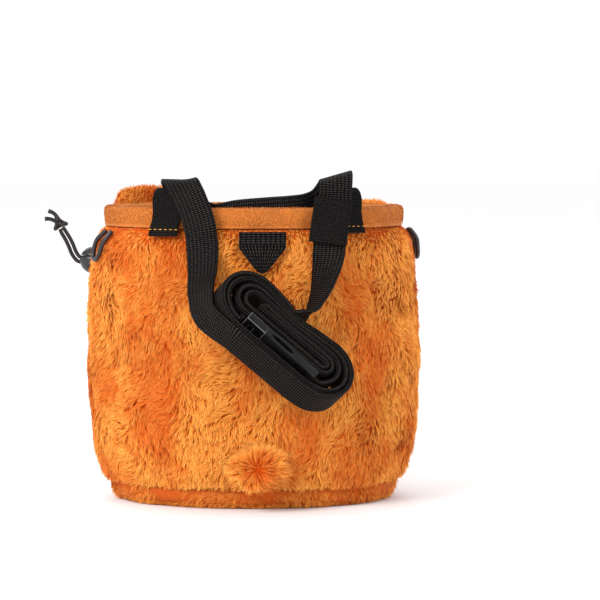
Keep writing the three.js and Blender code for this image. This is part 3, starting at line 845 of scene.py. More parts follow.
@dataclass(frozen=True)
class BraidFinish:
    """Braided cord on its own UV map: two families of yarns that cross, their crowns painted
    lighter as a painted highlight.
    """

    name: str = "braided_cord"
    dark: str = "0E0D0E"
    light: str = "3A3636"
    around: float = 0.0063
    pitch: float = 0.0016

    def make(self) -> bpy.types.Material:
        """Builds the material.

        Returns:
            The new material.
        """
        paint = Paint(self.name, Roughness=0.6, Sheen_Weight=0.03, Specular_IOR_Level=0.2)
        u, v = paint.chart()
        a = paint.times(u, 2 * math.pi * 4 / self.around)
        b = paint.times(v, 2 * math.pi / self.pitch)
        one = paint.math("SINE", paint.plus(a, b))
        two = paint.math("SINE", paint.minus(a, b))
        height = paint.math("MAXIMUM", one, two)
        # Painted highlight: the yarn crowns take the lighter colour and the hollows keep the dark
        # one.
        light = paint.spread(height, -0.2, 1.0, 0, 1)
        paint.tint(light, self.dark, self.light)
        paint.raise_by(height, 0.00015)
        return paint.material


@dataclass(frozen=True)
class ThreadFinish:
    """Twisted sewing thread with a soft shine."""

    name: str = "gold_thread"
    colour: str = "E8A935"
    shade: str = "A86A12"

    def make(self) -> bpy.types.Material:
        """Builds the material.

        Returns:
            The new material.
        """
        paint = Paint(self.name, Roughness=0.45, Specular_IOR_Level=0.5)
        place = paint.place()
        twist = paint.noise(place, 1800.0, 1.0)
        part = paint.spread(twist, 0.35, 0.65, 0, 1)
        paint.tint(part, self.shade, self.colour)
        paint.raise_by(twist, 0.0001)
        return paint.material


class Finish(Enum):
    """The finishes of the bag."""

    # In each pile finish the fourth colour is the darker patch: partly random tone, partly painted
    # shade.
    PILE = PileFinish()
    BASE_PILE = PileFinish("base_pile", "9A3608", "D46C1C", "F4A246", "BC500E")
    RIM_PILE = PileFinish("rim_pile", "A85618", "C87428", "DC9048", "B8641A")
    FELT = FeltFinish()
    LINING = WeaveFinish("lining_cloth", "7A3E16", "A8602A", 0.0011, 0.0011, 0.0001, 0.85)
    WEBBING = WeaveFinish("ribbed_webbing", "010101", "383331", 0.0019, 0.0011, stagger=0.5)
    LOOP_WEBBING = WeaveFinish("fine_webbing", "010101", "2C2826", 0.0012, 0.0011)
    TAB_CLOTH = WeaveFinish(
        "tab_cloth", "010101", "3A3533", 0.0019, 0.0013, stagger=0.5, fold=0.0075
    )
    BUCKLE = PlasticFinish("buckle_plastic", "080708", "1A1819", 0.3, shine=0.22)
    # Painted highlight: light grey plastic for the bevelled edges of the buckle, standing in for
    # the glints along them.
    BUCKLE_EDGE_HIGHLIGHT = PlasticFinish("buckle_edge_highlight", "5A5757", "A5A2A2", 0.3, shine=0.5)
    LOCK = PlasticFinish("lock_plastic", "161418", "2E2A30", 0.34)
    BRAID = BraidFinish()
    LOOP_CORD = PlasticFinish("coated_cord", "161214", "2A2427", 0.3)
    THREAD = ThreadFinish()


class FinishShelf:
    """Makes each finish once and keeps it."""

    def __init__(self) -> None:
        """Starts with no materials made."""
        self.made: dict[Finish, bpy.types.Material] = {}

    def take(self, finish: Finish) -> bpy.types.Material:
        """The material of a finish.

        Args:
            finish: the finish wanted.

        Returns:
            Its material.
        """
        if finish not in self.made:
            self.made[finish] = finish.value.make()
        return self.made[finish]


SHELF = FinishShelf()


def settle(obj: Piece, finish: Finish | None, slot: str, *nodes: str) -> Piece:
    """Gives a finished piece its material and its place on the frame.

    Args:
        obj: the finished piece.
        finish: its finish, or None where the piece has its materials already.
        slot: the record's material slot; not used.
        *nodes: the CAD nodes that it stands for.

    Returns:
        The same piece.
    """
    if finish is not None:
        obj.data.materials.clear()
        obj.data.materials.append(SHELF.take(finish))
    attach(obj, "root")
    if nodes:
        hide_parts(*nodes)
    LOG.info("%s: %d faces", obj.name, len(obj.data.polygons))
    return obj


# Pile


@dataclass(frozen=True)
class PileCut:
    """How the pile of one patch grows: lengths in millimetres, density for each square of them."""

    density: float
    length: float
    width: float = 0.5
    rise: float = 0.5
    clump: float = 0.7
    cell: float = 2.6
    swirl: float = 1.5
    stray: float = 0.35
    seed: int = 1


class PileGrower:
    """Grows pile on a patch with one geometry tree, whose inputs are the sizes of the pile."""

    WAVE_SCALE = 42.0
    DRIFT_SCALE = 110.0
    LIFT_SCALE = 60.0
    TIP_LOSS = 0.85
    FLOOR_CLEARANCE = 0.0002
    INPUTS = (
        ("Density", "NodeSocketFloat"),
        ("Strand length", "NodeSocketFloat"),
        ("Strand width", "NodeSocketFloat"),
        ("Rise", "NodeSocketFloat"),
        ("Clump", "NodeSocketFloat"),
        ("Cell size", "NodeSocketFloat"),
        ("Swirl", "NodeSocketFloat"),
        ("Stray", "NodeSocketFloat"),
        ("Seed", "NodeSocketInt"),
    )

    def __init__(self) -> None:
        """Builds the tree."""
        self.tree = bpy.data.node_groups.new("grow_pile", "GeometryNodeTree")
        face = self.tree.interface
        face.new_socket("Geometry", in_out="INPUT", socket_type="NodeSocketGeometry")
        self.names = {
            name: face.new_socket(name, in_out="INPUT", socket_type=kind).identifier
            for name, kind in self.INPUTS
        }
        face.new_socket("Material", in_out="INPUT", socket_type="NodeSocketMaterial")
        self.names["Material"] = face.items_tree["Material"].identifier
        face.new_socket("Geometry", in_out="OUTPUT", socket_type="NodeSocketGeometry")
        self.nodes = Nodes(self.tree)
        self.lay_out()

    def named(self, name: str, kind: str = "FLOAT_VECTOR") -> Any:
        """Attribute of a name."""
        node = self.nodes.add("GeometryNodeInputNamedAttribute", {"Name": name}, data_type=kind)
        return node.outputs["Attribute"]

    def store(self, geometry: Any, name: str, value: Any, kind: str = "FLOAT_VECTOR") -> Any:
        """Geometry with an attribute stored under a name.

        Args:
            geometry: what carries it.
            name: its name.
            value: its socket.
            kind: its data type.

        Returns:
            The geometry with it.
        """
        node = self.nodes.add(
            "GeometryNodeStoreNamedAttribute",
            {"Geometry": geometry, "Name": name, "Value": value},
            data_type=kind,
            domain="POINT",
        )
        return node.outputs[0]

    def random(self, low: float, high: float, salt: int, seed: Any) -> Any:
        """Random number for each root.

        Args:
            low: least value.
            high: greatest value.
            salt: tells the draws apart.
            seed: socket of the seed.

        Returns:
            The number's socket.
        """
        n = self.nodes
        node = n.add("FunctionNodeRandomValue", data_type="FLOAT")
        for socket in node.inputs:
            if socket.enabled and socket.name == "Min":
                socket.default_value = low
            if socket.enabled and socket.name == "Max":
                socket.default_value = high
        picked = n.plus(seed, float(salt))
        n.tree.links.new(picked, node.inputs["Seed"])
        return [out for out in node.outputs if out.enabled][0]

    def turned(self, start: Any, towards: Any, angle: Any) -> Any:
        """Direction turned from one vector towards another by an angle.

        Args:
            start: direction at no turn.
            towards: direction at a quarter turn.
            angle: the turn.

        Returns:
            The direction's socket.
        """
        n = self.nodes
        part = n.scaled(start, n.math("COSINE", angle))
        return n.vector("ADD", part, n.scaled(towards, n.math("SINE", angle)))

    def roots(self, given: Any) -> Any:
        """Points on the patch that carry what each strand needs.

        Args:
            given: the node with the inputs.

        Returns:
            The points, with their attributes.
        """
        n = self.nodes
        scatter = n.add(
            "GeometryNodeDistributePointsOnFaces",
            {"Mesh": given.outputs["Geometry"], "Density": given.outputs["Density"]},
            distribute_method="RANDOM",
        )
        n.tree.links.new(given.outputs["Seed"], scatter.inputs["Seed"])
        seed = given.outputs["Seed"]
        root = n.add("GeometryNodeInputPosition").outputs[0]
        normal = self.named("out")
        cell = n.math("DIVIDE", 1.0, given.outputs["Cell size"])
        clumps = n.add("ShaderNodeTexVoronoi", {"Vector": root, "Scale": cell})
        centre, colour = clumps.outputs["Position"], clumps.outputs["Color"]
        own = n.add("ShaderNodeSeparateXYZ", {0: colour}).outputs
        waves = n.noise(centre, self.WAVE_SCALE, 1.0)
        drift = n.noise(n.vector("ADD", centre, (3.1, 1.7, 0.4)), self.DRIFT_SCALE, 0.0)
        turn = n.times(given.outputs["Swirl"], 5.2)
        angle = n.times(n.minus(waves, 0.5), turn)
        angle = n.plus(angle, n.times(n.minus(drift, 0.5), 1.6))
        angle = n.plus(angle, n.times(n.minus(own[0], 0.5), 0.7))
        stray = n.times(self.random(-1.0, 1.0, 11, seed), given.outputs["Stray"])
        angle = n.plus(angle, stray)
        side = n.vector("NORMALIZE", n.vector("CROSS_PRODUCT", normal, self.named("comb")))
        down = n.vector("CROSS_PRODUCT", side, normal)
        lie = self.turned(down, side, angle)
        lift = n.noise(n.vector("ADD", centre, (0.7, 0.2, 5.3)), self.LIFT_SCALE, 1.0)
        rise = n.times(given.outputs["Rise"], n.spread(lift, 0.3, 0.7, 0.45, 1.5))
        rise = n.times(rise, self.random(0.8, 1.2, 23, seed))
        run = n.math("SQRT", n.math("MAXIMUM", n.minus(1.0, n.times(rise, rise)), 0.05))
        size = n.times(given.outputs["Strand length"], self.named("pile", "FLOAT"))
        size = n.times(size, self.random(0.7, 1.12, 37, seed))
        size = n.times(size, n.spread(own[1], 0.0, 1.0, 0.8, 1.1))
        roll = self.random(-0.9, 0.9, 41, seed)
        across = n.vector("CROSS_PRODUCT", normal, lie)
        flat = self.turned(across, normal, roll)
        reach = n.vector("SUBTRACT", centre, root)
        height = n.vector("DOT_PRODUCT", reach, normal)
        reach = n.vector("SUBTRACT", reach, n.scaled(normal, height))
        tone = n.plus(n.times(own[2], 0.65), self.random(0.0, 0.35, 53, seed))
        width = n.times(given.outputs["Strand width"], self.random(0.7, 1.2, 59, seed))
        points = scatter.outputs["Points"]
        for name, value, kind in (
            ("root", root, "FLOAT_VECTOR"),
            ("grow", n.scaled(normal, n.times(size, rise)), "FLOAT_VECTOR"),
            ("lie", n.scaled(lie, n.times(size, run)), "FLOAT_VECTOR"),
            ("pull", n.scaled(reach, given.outputs["Clump"]), "FLOAT_VECTOR"),
            ("flat", n.scaled(flat, width), "FLOAT_VECTOR"),
            ("tone", tone, "FLOAT"),
        ):
            points = self.store(points, name, value, kind)
        return points

    def lay_out(self) -> None:
        """Joins the nodes: roots, blades on them, and the bend of each blade."""
        n = self.nodes
        given = n.add("NodeGroupInput")
        points = self.roots(given)
        blade = n.add(
            "GeometryNodeMeshGrid",
            {"Size X": 1.0, "Size Y": 1.0, "Vertices X": 2, "Vertices Y": 3},
        )
        placed = n.add(
            "GeometryNodeInstanceOnPoints",
            {"Points": points, "Instance": blade.outputs[0]},
        )
        real = n.add("GeometryNodeRealizeInstances", {0: placed.outputs[0]}).outputs[0]
        vertex = n.add("GeometryNodeInputPosition").outputs[0]
        local = n.vector("SUBTRACT", vertex, self.named("root"))
        split = n.add("ShaderNodeSeparateXYZ", {0: local}).outputs
        real = self.store(real, "along", n.plus(split[1], 0.5), "FLOAT")
        real = self.store(real, "sideways", split[0], "FLOAT")
        along, sideways = self.named("along", "FLOAT"), self.named("sideways", "FLOAT")
        up = n.times(along, n.minus(1.55, n.times(along, 0.55)))
        over = n.times(along, n.plus(0.35, n.times(along, 0.65)))
        pull = n.math("POWER", along, 1.6)
        slim = n.minus(1.0, n.times(n.math("POWER", along, 2.0), self.TIP_LOSS))
        place = n.vector("ADD", self.named("root"), n.scaled(self.named("grow"), up))
        place = n.vector("ADD", place, n.scaled(self.named("lie"), over))
        place = n.vector("ADD", place, n.scaled(self.named("pull"), pull))
        place = n.vector("ADD", place, n.scaled(self.named("flat"), n.times(sideways, slim)))
        place = n.vector("MAXIMUM", place, (-1.0, -1.0, self.FLOOR_CLEARANCE))
        real = n.add("GeometryNodeSetPosition", {"Geometry": real, "Position": place}).outputs[0]
        for name in ("root", "grow", "lie", "pull", "flat", "sideways", "pile", "comb", "out"):
            node = n.add("GeometryNodeRemoveAttribute", {"Geometry": real, "Name": name})
            real = node.outputs[0]
        real = n.add("GeometryNodeSetShadeSmooth", {"Geometry": real}).outputs[0]
        finish = {"Geometry": real, "Material": given.outputs["Material"]}
        done = n.add("GeometryNodeSetMaterial", finish)
        n.add("NodeGroupOutput", {0: done.outputs[0]})

    def grow(self, patch: Piece, cut: PileCut, finish: Finish, name: str) -> Piece:
        """Grows the pile of one patch.

        Args:
            patch: surface with the attributes out, comb and pile; it is used up.
            cut: sizes of the pile.
            finish: the pile's finish.
            name: name of the new piece.

        Returns:
            The strands as one plain mesh.
        """
        modifier = patch.modifiers.new("pile", "NODES")
        modifier.node_group = self.tree
        values = {
            "Density": cut.density / MM**2,
            "Strand length": cut.length * MM,
            "Strand width": cut.width * MM,
            "Rise": cut.rise,
            "Clump": cut.clump,
            "Cell size": cut.cell * MM,
            "Swirl": cut.swirl,
            "Stray": cut.stray,
            "Seed": cut.seed,
            "Material": SHELF.take(finish),
        }
        for key, value in values.items():
            modifier[self.names[key]] = value
        patch.update_tag()
        return baked(patch, name)


class Growth(Enum):
    """Which way the pile of a patch is combed."""

    DOWN = (-0.25, 0.0, -1.0)
    UP = (0.0, 0.0, 1.0)
    RADIAL = (0.0, 0.0, 0.0)


def mark_patch(patch: Piece, growth: Growth, pile: Array) -> Piece:
    """Stores on a patch where its pile points, is combed and how long it is.

    Args:
        patch: the surface.
        growth: which way the pile is combed.
        pile: share of the full length at each vertex.

    Returns:
        The same patch.
    """
    count = len(patch.data.vertices)
    normals = np.zeros(count * 3, np.float32)
    patch.data.vertex_normals.foreach_get("vector", normals)
    vector_attribute(patch, "out", normals)
    comb = np.tile(growth.value, (count, 1))
    if growth is Growth.RADIAL:
        places = np.array([v.co for v in patch.data.vertices])
        comb = (places - places.mean(axis=0)) * (1.0, 0.0, 1.0)
    vector_attribute(patch, "comb", unit(comb))
    float_attribute(patch, "pile", pile)
    return patch


@dataclass
class FurCoat:
    """Side fur: a padded skin, and pile in eight sectors over it."""

    form: BagForm = FORM
    skin_depth: float = 1.7
    rows: int = 72
    columns: int = 264
    sectors: int = 8
    front_density: float = 3.3
    far_density: float = 1.5
    far_width: float = 1.35
    cut: PileCut = PileCut(density=3.3, length=5.0, width=0.4, rise=0.42, cell=1.7, swirl=0.95)
    swell: float = 0.7
    tab_middle: float = 5.4
    tab_half: float = 12.6
    tab_foot: float = 116.5
    hem_foot: float = 131.0
    hems: tuple[Row, ...] = ((-52.0, -29.0), (35.0, 58.0))

    def half(self, turn: Array, z: Array, depth: float) -> Array:
        """Half width of the skin, with the soft swells of the cloth under the pile.

        Args:
            turn: place round the bag.
            z: height.
            depth: how far it lies under the tips.

        Returns:
            The half width.
        """
        wave = np.sin(turn * 5 + z * 0.05) * np.sin(z * 0.085 + 1.1 * np.sin(turn * 3))
        wave = wave + 0.6 * np.sin(turn * 11 + z * 0.11 + 0.7)
        fade = ease(self.form.share(z), 0.0, 0.15) * (1 - ease(self.form.share(z), 0.86, 0.98))
        return self.form.fur_half(z) - depth + self.swell * wave * fade * 0.6

    def surface(self, turns: Array, depth: float) -> Array:
        """Grid of the skin over a range of turns.

        Args:
            turns: places round the bag.
            depth: how far it lies under the tips.

        Returns:
            Points by height and turn.
        """
        low = self.form.base_height + self.form.gap
        high = self.form.seam - self.form.gap
        z = np.linspace(low, high, self.rows)[:, None]
        return self.form.point(turns[None, :], self.half(turns[None, :], z, depth), z)

    def shortness(self, places: Array) -> Array:
        """Share of the full pile at each place: shorter at seams and under what is sewn on.

        Args:
            places: points in millimetres.

        Returns:
            One share for each point.
        """
        x, y, z = places[:, 0], places[:, 1], places[:, 2]
        share = 0.5 + 0.5 * ease(z, self.form.base_height, self.form.base_height + 5)
        share = share * (0.4 + 0.6 * (1 - ease(z, self.form.seam - 7, self.form.seam - 1)))
        front = y < 0
        aside = np.abs(x - self.tab_middle)
        tab = (aside < self.tab_half) & (z > self.tab_foot + 0.55 * aside) & front
        hem_left, hem_right = (
            (x > low) & (x < high) & (z > self.hem_foot) & front for low, high in self.hems
        )
        share = np.where(tab, share * 0.55, share)
        return np.where(hem_left | hem_right, share * 0.7, share)

    def skin(self) -> Piece:
        """Closed padded sleeve under the pile.

        Returns:
            The finished skin.
        """
        turns = circle(self.columns)
        outside = self.surface(turns, self.skin_depth)
        low, high = outside[0, 0, 2], outside[-1, 0, 2]
        z = np.linspace(high, low, 9)[:, None]
        inner = np.minimum(self.form.wall_half(z) + self.form.gap, self.form.fur_half(z) - 3.0)
        inside = self.form.point(turns[None, :], inner, z)
        points = np.concatenate([outside, inside])
        made = grid_object("fur_skin", points, around=True, along=True)
        even_tone(made, 0.12)
        return settle(made, Finish.PILE, "fur", "side_fur")

    def build(self, grower: PileGrower) -> None:
        """Makes the skin and the pile of each sector.

        Args:
            grower: what grows the pile.
        """
        self.skin()
        width = 2 * np.pi / self.sectors
        for k in range(self.sectors):
            start = -np.pi / 2 + k * width
            turns = np.linspace(start, start + width, self.columns // self.sectors + 1)
            points = self.surface(turns, self.skin_depth)
            patch = grid_object(f"sector_{k}", points)
            mark_patch(patch, Growth.DOWN, self.shortness(points.reshape(-1, 3)))
            front = abs(start + width / 2) < np.pi / 2
            density = self.front_density if front else self.far_density
            strand = self.cut.width if front else self.cut.width * self.far_width
            cut = replace(self.cut, density=density, width=strand, seed=100 + k)
            piece = grower.grow(patch, cut, Finish.PILE, f"fur_pile_{k + 1}")
            settle(piece, None, "fur")


@dataclass
class BaseFur:
    """Base: a shallow dish with short pile round its side and flat cloth where it rests."""

    form: BagForm = FORM
    sides: int = 240
    cut: PileCut = PileCut(3.4, 4.6, 0.4, rise=0.5, clump=0.6, cell=1.8, swirl=1.0, seed=31)

    def ring(self, half: float, z: float) -> Array:
        """Oval ring at a height."""
        turns = circle(self.sides)
        return self.form.point(turns, half, z)

    def build(self, grower: PileGrower) -> None:
        """Makes the dish and its pile.

        Args:
            grower: what grows the pile.
        """
        top = self.form.base_height - self.form.gap / 2
        seam = float(self.form.fur_half(self.form.base_height))
        outside = [(0.0, 0.02), (0.0, 0.5), (0.0, 0.885), (0.08, 0.918)]
        outside += [(0.25, 0.945), (0.5, 0.962), (0.75, 0.968), (1.0, 0.968)]
        rings = [self.ring(seam * h - 2.0 * (h > 0.6), top * z) for z, h in outside]
        inner = [(top, 0.35), (self.form.base_height * 0.65, 0.35), (self.form.base_pile, 0.35)]
        rings += [self.ring(float(self.form.wall_half(z)) + gap, z) for z, gap in inner]
        rings += [self.ring(seam * 0.02, self.form.base_pile)]
        dish = grid_object("base_dish", np.stack(rings), around=True, along=True)
        even_tone(dish, 0.2)
        settle(dish, Finish.BASE_PILE, "base_fur", "base_fur")
        z = np.linspace(0.4, top - 0.4, 9)
        rows = np.array(outside)
        half = np.interp(z / top, rows[2:, 0], rows[2:, 1]) * seam - 2.0
        turns = circle(self.sides, 1)
        points = self.form.point(turns[None, :], half[:, None], z[:, None])
        patch = grid_object("base_patch", points)
        pile = 0.75 + 0.25 * ease(points[..., 2].ravel(), 1.0, 5.0)
        mark_patch(patch, Growth.DOWN, pile)
        settle(grower.grow(patch, self.cut, Finish.BASE_PILE, "base_pile"), None, "base_fur")


@dataclass
class Tuft:
    """A rounded cushion with pile all over, such as the tail or an ear."""

    name: str
    node: str
    halves: Point
    place: Callable[[Array], Array]
    growth: Growth
    cut: PileCut
    shrink: float = 2.4
    rows: int = 26
    columns: int = 48

    def build(self, grower: PileGrower) -> None:
        """Makes the cushion and its pile.

        Args:
            grower: what grows the pile.
        """
        tip = np.linspace(0.06, np.pi - 0.06, self.rows)[:, None]
        turn = circle(self.columns)[None, :]
        x, y, z = (max(h - self.shrink * (k != 1), 1.0) for k, h in enumerate(self.halves))
        lump = 1 + 0.05 * np.sin(5 * turn + 3 * tip) * np.sin(tip)
        local = np.stack(
            [
                x * np.sin(tip) * np.sin(turn) * lump,
                -y * np.cos(tip) + 0 * turn,
                z * np.sin(tip) * np.cos(turn) * lump,
            ],
            axis=-1,
        )
        points = self.place(local.reshape(-1, 3)).reshape(local.shape)
        core = grid_object(f"{self.name}_core", points, around=True, caps=True)
        even_tone(core, 0.25)
        patch = new_object(f"{self.name}_patch", core.data.copy())
        mark_patch(patch, self.growth, np.ones(len(patch.data.vertices)))
        settle(core, Finish.PILE, "fur", self.node)
        settle(grower.grow(patch, self.cut, Finish.PILE, f"{self.name}_pile"), None, "fur")


@dataclass
class TuftSet:
    """The tail on the back and the two ears on the far side of the rim."""

    form: BagForm = FORM
    tail_width: float = 29.0
    tail_height: float = 21.5
    tail_depth: float = 15.0
    tail_aside: float = 0.024
    tail_high: float = 0.148
    ear_width: float = 45.0
    ear_depth: float = 7.0
    left_rise: float = 9.5
    right_rise: float = 2.2
    tail_cut: PileCut = PileCut(7.0, 6.6, 0.42, rise=0.5, clump=0.7, cell=1.9, swirl=0.35, seed=61)
    ear_cut: PileCut = PileCut(4.0, 2.8, 0.36, rise=0.5, clump=0.6, cell=1.5, swirl=0.8, seed=71)

    def tail_place(self, points: Array) -> Array:
        """Places the tail's cushion on the fur.

        Args:
            points: points of the cushion about its middle.

        Returns:
            The same points on the bag.
        """
        aside = self.form.rim_width * self.tail_aside
        high = self.form.height * self.tail_high
        x = points[:, 0] + aside
        z = points[:, 2] + high
        rest = self.form.depth(aside, self.form.tip_half(high))
        y = points[:, 1] - rest - self.tail_depth * 0.3
        back = -self.form.depth(x, self.form.fur_half(z) - 2.0)
        return np.stack([x, np.minimum(y, back), z], axis=1)

    def ear_place(self, turn: float, rise: float) -> Callable[[Array], Array]:
        """Function that places an ear's cushion against the rim.

        Args:
            turn: place round the rim.
            rise: how far the ear stands over the rim.

        Returns:
            The function.
        """
        low = self.form.seam + self.form.gap * 2
        high = self.form.height + rise

        def place(points: Array) -> Array:
            """Points bent round the rim.

            Args:
                points: points of the cushion about its middle.

            Returns:
                The same points on the bag.
            """
            around = turn - points[:, 0] / (self.form.rim_half * 0.92)
            out = points[:, 1] + self.ear_depth / 2 + 0.3 + self.form.gap
            foot = self.form.point(around, self.form.rim_half, points[:, 2] + (low + high) / 2)
            return foot + self.form.normal(around, self.form.rim_half) * out[:, None]

        return place

    def build(self, grower: PileGrower) -> None:
        """Makes the tail and both ears.

        Args:
            grower: what grows the pile.
        """
        halves = (self.tail_width / 2, self.tail_depth / 2 - 1.5, self.tail_height / 2)
        place, cut = self.tail_place, self.tail_cut
        Tuft("tail", "tail_pompom", halves, place, Growth.RADIAL, cut, 3.4).build(grower)
        for name, turn, rise in (
            ("ear_left", np.pi + np.radians(47), self.left_rise),
            ("ear_right", np.pi - np.radians(45), self.right_rise),
        ):
            high = self.form.height + rise - self.form.seam - 2 * self.form.gap
            halves = (self.ear_width / 2, self.ear_depth / 2 - 1.2, high / 2)
            cut = replace(self.ear_cut, seed=self.ear_cut.seed + int(rise))
            place = self.ear_place(turn, rise)
            Tuft(name, name, halves, place, Growth.UP, cut, 1.8).build(grower)


# Cloth


@dataclass
class Lining:
    """Cloth cup inside the bag, gathered a little under the rim."""

    form: BagForm = FORM
    sides: int = 220

    def build(self) -> None:
        """Makes the cup."""
        turns = circle(self.sides)
        bottom = self.form.base_pile + self.form.gap
        top = self.form.height - self.form.rim_cloth - self.form.gap
        outer = np.concatenate([[bottom], np.linspace(self.form.base_height * 0.65, top, 26)])
        rings = [self.form.point(turns, 2.0, bottom)]
        rings += [self.form.point(turns, float(self.form.wall_half(z)), z) for z in outer]
        for z in np.concatenate([outer[:0:-1], [bottom + self.form.wall]]):
            fold = 0.25 * np.sin(turns * 31 + 2 * np.sin(turns * 4)) * ease(z, 70, 125)
            slack = ease(z, 20, 60) * (1 - ease(z, 110, 134))
            fold = fold + 0.5 * np.sin(turns * 7 + z * 0.04) * slack
            fold = fold * (1 - ease(z, 134, 138))
            half = float(self.form.wall_half(z)) - self.form.wall - 0.15 + fold * 0.8
            rings.append(self.form.point(turns, half, z))
        rings.append(self.form.point(turns, 2.0, bottom + self.form.wall))
        cup = grid_object("lining_cup", np.stack(rings), around=True, along=True)
        settle(cup, Finish.LINING, "lining", "body_wall")


@dataclass
class Rim:
    """Felt band folded over the top edge, with a stitched seam and a welt under it."""

    form: BagForm = FORM
    sides: int = 420
    cut: PileCut = PileCut(3.0, 1.5, 0.26, rise=0.3, clump=0.35, cell=0.9, swirl=0.6, seed=91)

    def build(self, grower: PileGrower) -> None:
        """Makes the band with the groove over its welt, and the nap on its outside and top.

        Args:
            grower: what grows the pile.
        """
        turns = circle(self.sides)
        low, high = self.form.seam + self.form.gap / 2, self.form.height
        outer, inner = self.form.rim_half, self.form.rim_half - self.form.rim_thick
        cloth = self.form.rim_cloth
        section = [(outer - 0.5, low), (outer - 0.1, low + 0.6), (outer - 0.8, low + 1.4)]
        section += [(outer - 0.35, low + 2.0), (outer - 0.1, low + 4.2), (outer - 0.1, high - 3.0)]
        section += [(outer - 0.45, high - 1.5), (outer - 1.2, high - 0.5)]
        section += [((outer + inner) / 2, high - 0.2)]
        section += [(inner + 1.0, high - 0.4), (inner + 0.3, high - 1.1), (inner, high - 2.4)]
        section += [(inner, low), (inner + cloth, low), (inner + cloth, high - cloth - 0.2)]
        section += [(outer - cloth, high - cloth - 0.2), (outer - cloth, low)]
        wave = 0.22 * np.sin(turns * 9 + 0.5) + 0.16 * np.sin(turns * 23 + 1.2)
        rings = []
        for k, (half, z) in enumerate(section):
            free = 1.0 if 3 <= k <= 6 else 0.35 if k < 12 else 0.0
            lift = 0.18 * np.sin(turns * 5 + 1.0) * (1.0 if 6 <= k <= 10 else 0.0)
            rings.append(self.form.point(turns, half + wave * free, z + lift))
        band = grid_object("felt_band", np.stack(rings), around=True, along=True)
        settle(band, Finish.FELT, "felt", "rim_band")
        patch = grid_object("nap_patch", np.stack(rings[3:10]), around=True)
        mark_patch(patch, Growth.DOWN, np.ones(len(patch.data.vertices)))
        settle(grower.grow(patch, self.cut, Finish.RIM_PILE, "rim_nap"), None, "felt")


@dataclass
class StitchRow:
    """Row of thread stitches along a route, made by a geometry tree from its named sizes."""

    INPUTS = ("Pitch", "Stitch length", "Thread")
    name: str
    path: Array
    face: Array
    pitch: float = 2.6
    length: float = 1.9
    thread: float = 0.42

    def tree(self) -> tuple[bpy.types.NodeTree, dict[str, str]]:
        """Geometry tree of a stitch row, and the identifiers of its inputs.

        Returns:
            The tree, and its identifiers by input name.
        """
        tree = bpy.data.node_groups.new("stitch_row", "GeometryNodeTree")
        face = tree.interface
        face.new_socket("Geometry", in_out="INPUT", socket_type="NodeSocketGeometry")
        names = {
            name: face.new_socket(name, in_out="INPUT", socket_type="NodeSocketFloat").identifier
            for name in self.INPUTS
        }
        face.new_socket("Geometry", in_out="OUTPUT", socket_type="NodeSocketGeometry")
        n = Nodes(tree)
        given = n.add("NodeGroupInput")
        curve = n.add("GeometryNodeMeshToCurve", {0: given.outputs["Geometry"]}).outputs[0]
        points = n.add("GeometryNodeCurveToPoints", {"Curve": curve}, mode="LENGTH")
        tree.links.new(given.outputs["Pitch"], points.inputs["Length"])
        ball = n.add(
            "GeometryNodeMeshIcoSphere",
            {"Radius": n.times(given.outputs["Thread"], 0.5), "Subdivisions": 2},
        ).outputs[0]
        stretch = n.math("DIVIDE", given.outputs["Stitch length"], given.outputs["Thread"])
        size = n.add("ShaderNodeCombineXYZ", {0: 1.0, 1: 1.0, 2: stretch}).outputs[0]
        placed = n.add(
            "GeometryNodeInstanceOnPoints",
            {
                "Points": points.outputs["Points"],
                "Instance": ball,
                "Rotation": points.outputs["Rotation"],
                "Scale": size,
            },
        ).outputs[0]
        real = n.add("GeometryNodeRealizeInstances", {0: placed}).outputs[0]
        real = n.add("GeometryNodeSetShadeSmooth", {"Geometry": real}).outputs[0]
        thread = {"Geometry": real, "Material": SHELF.take(Finish.THREAD)}
        n.add("NodeGroupOutput", {0: n.add("GeometryNodeSetMaterial", thread).outputs[0]})
        return tree, names

    def build(self, slot: str) -> Piece:
        """Makes the stitches as one piece.

        Args:
            slot: the record's material slot.

        Returns:
            The finished stitches.
        """
        mesh = bpy.data.meshes.new(self.name)
        points = (self.path + self.face * (self.thread * 0.15)) * MM
        edges = [(k, k + 1) for k in range(len(points) - 1)]
        mesh.from_pydata(points.tolist(), edges, [])
        line = new_object(f"{self.name}_line", mesh)
        modifier = line.modifiers.new("stitches", "NODES")
        tree, names = self.tree()
        modifier.node_group = tree
        for key, value in zip(self.INPUTS, (self.pitch, self.length, self.thread)):
            modifier[names[key]] = value * MM
        line.update_tag()
        return settle(baked(line, self.name), None, slot)


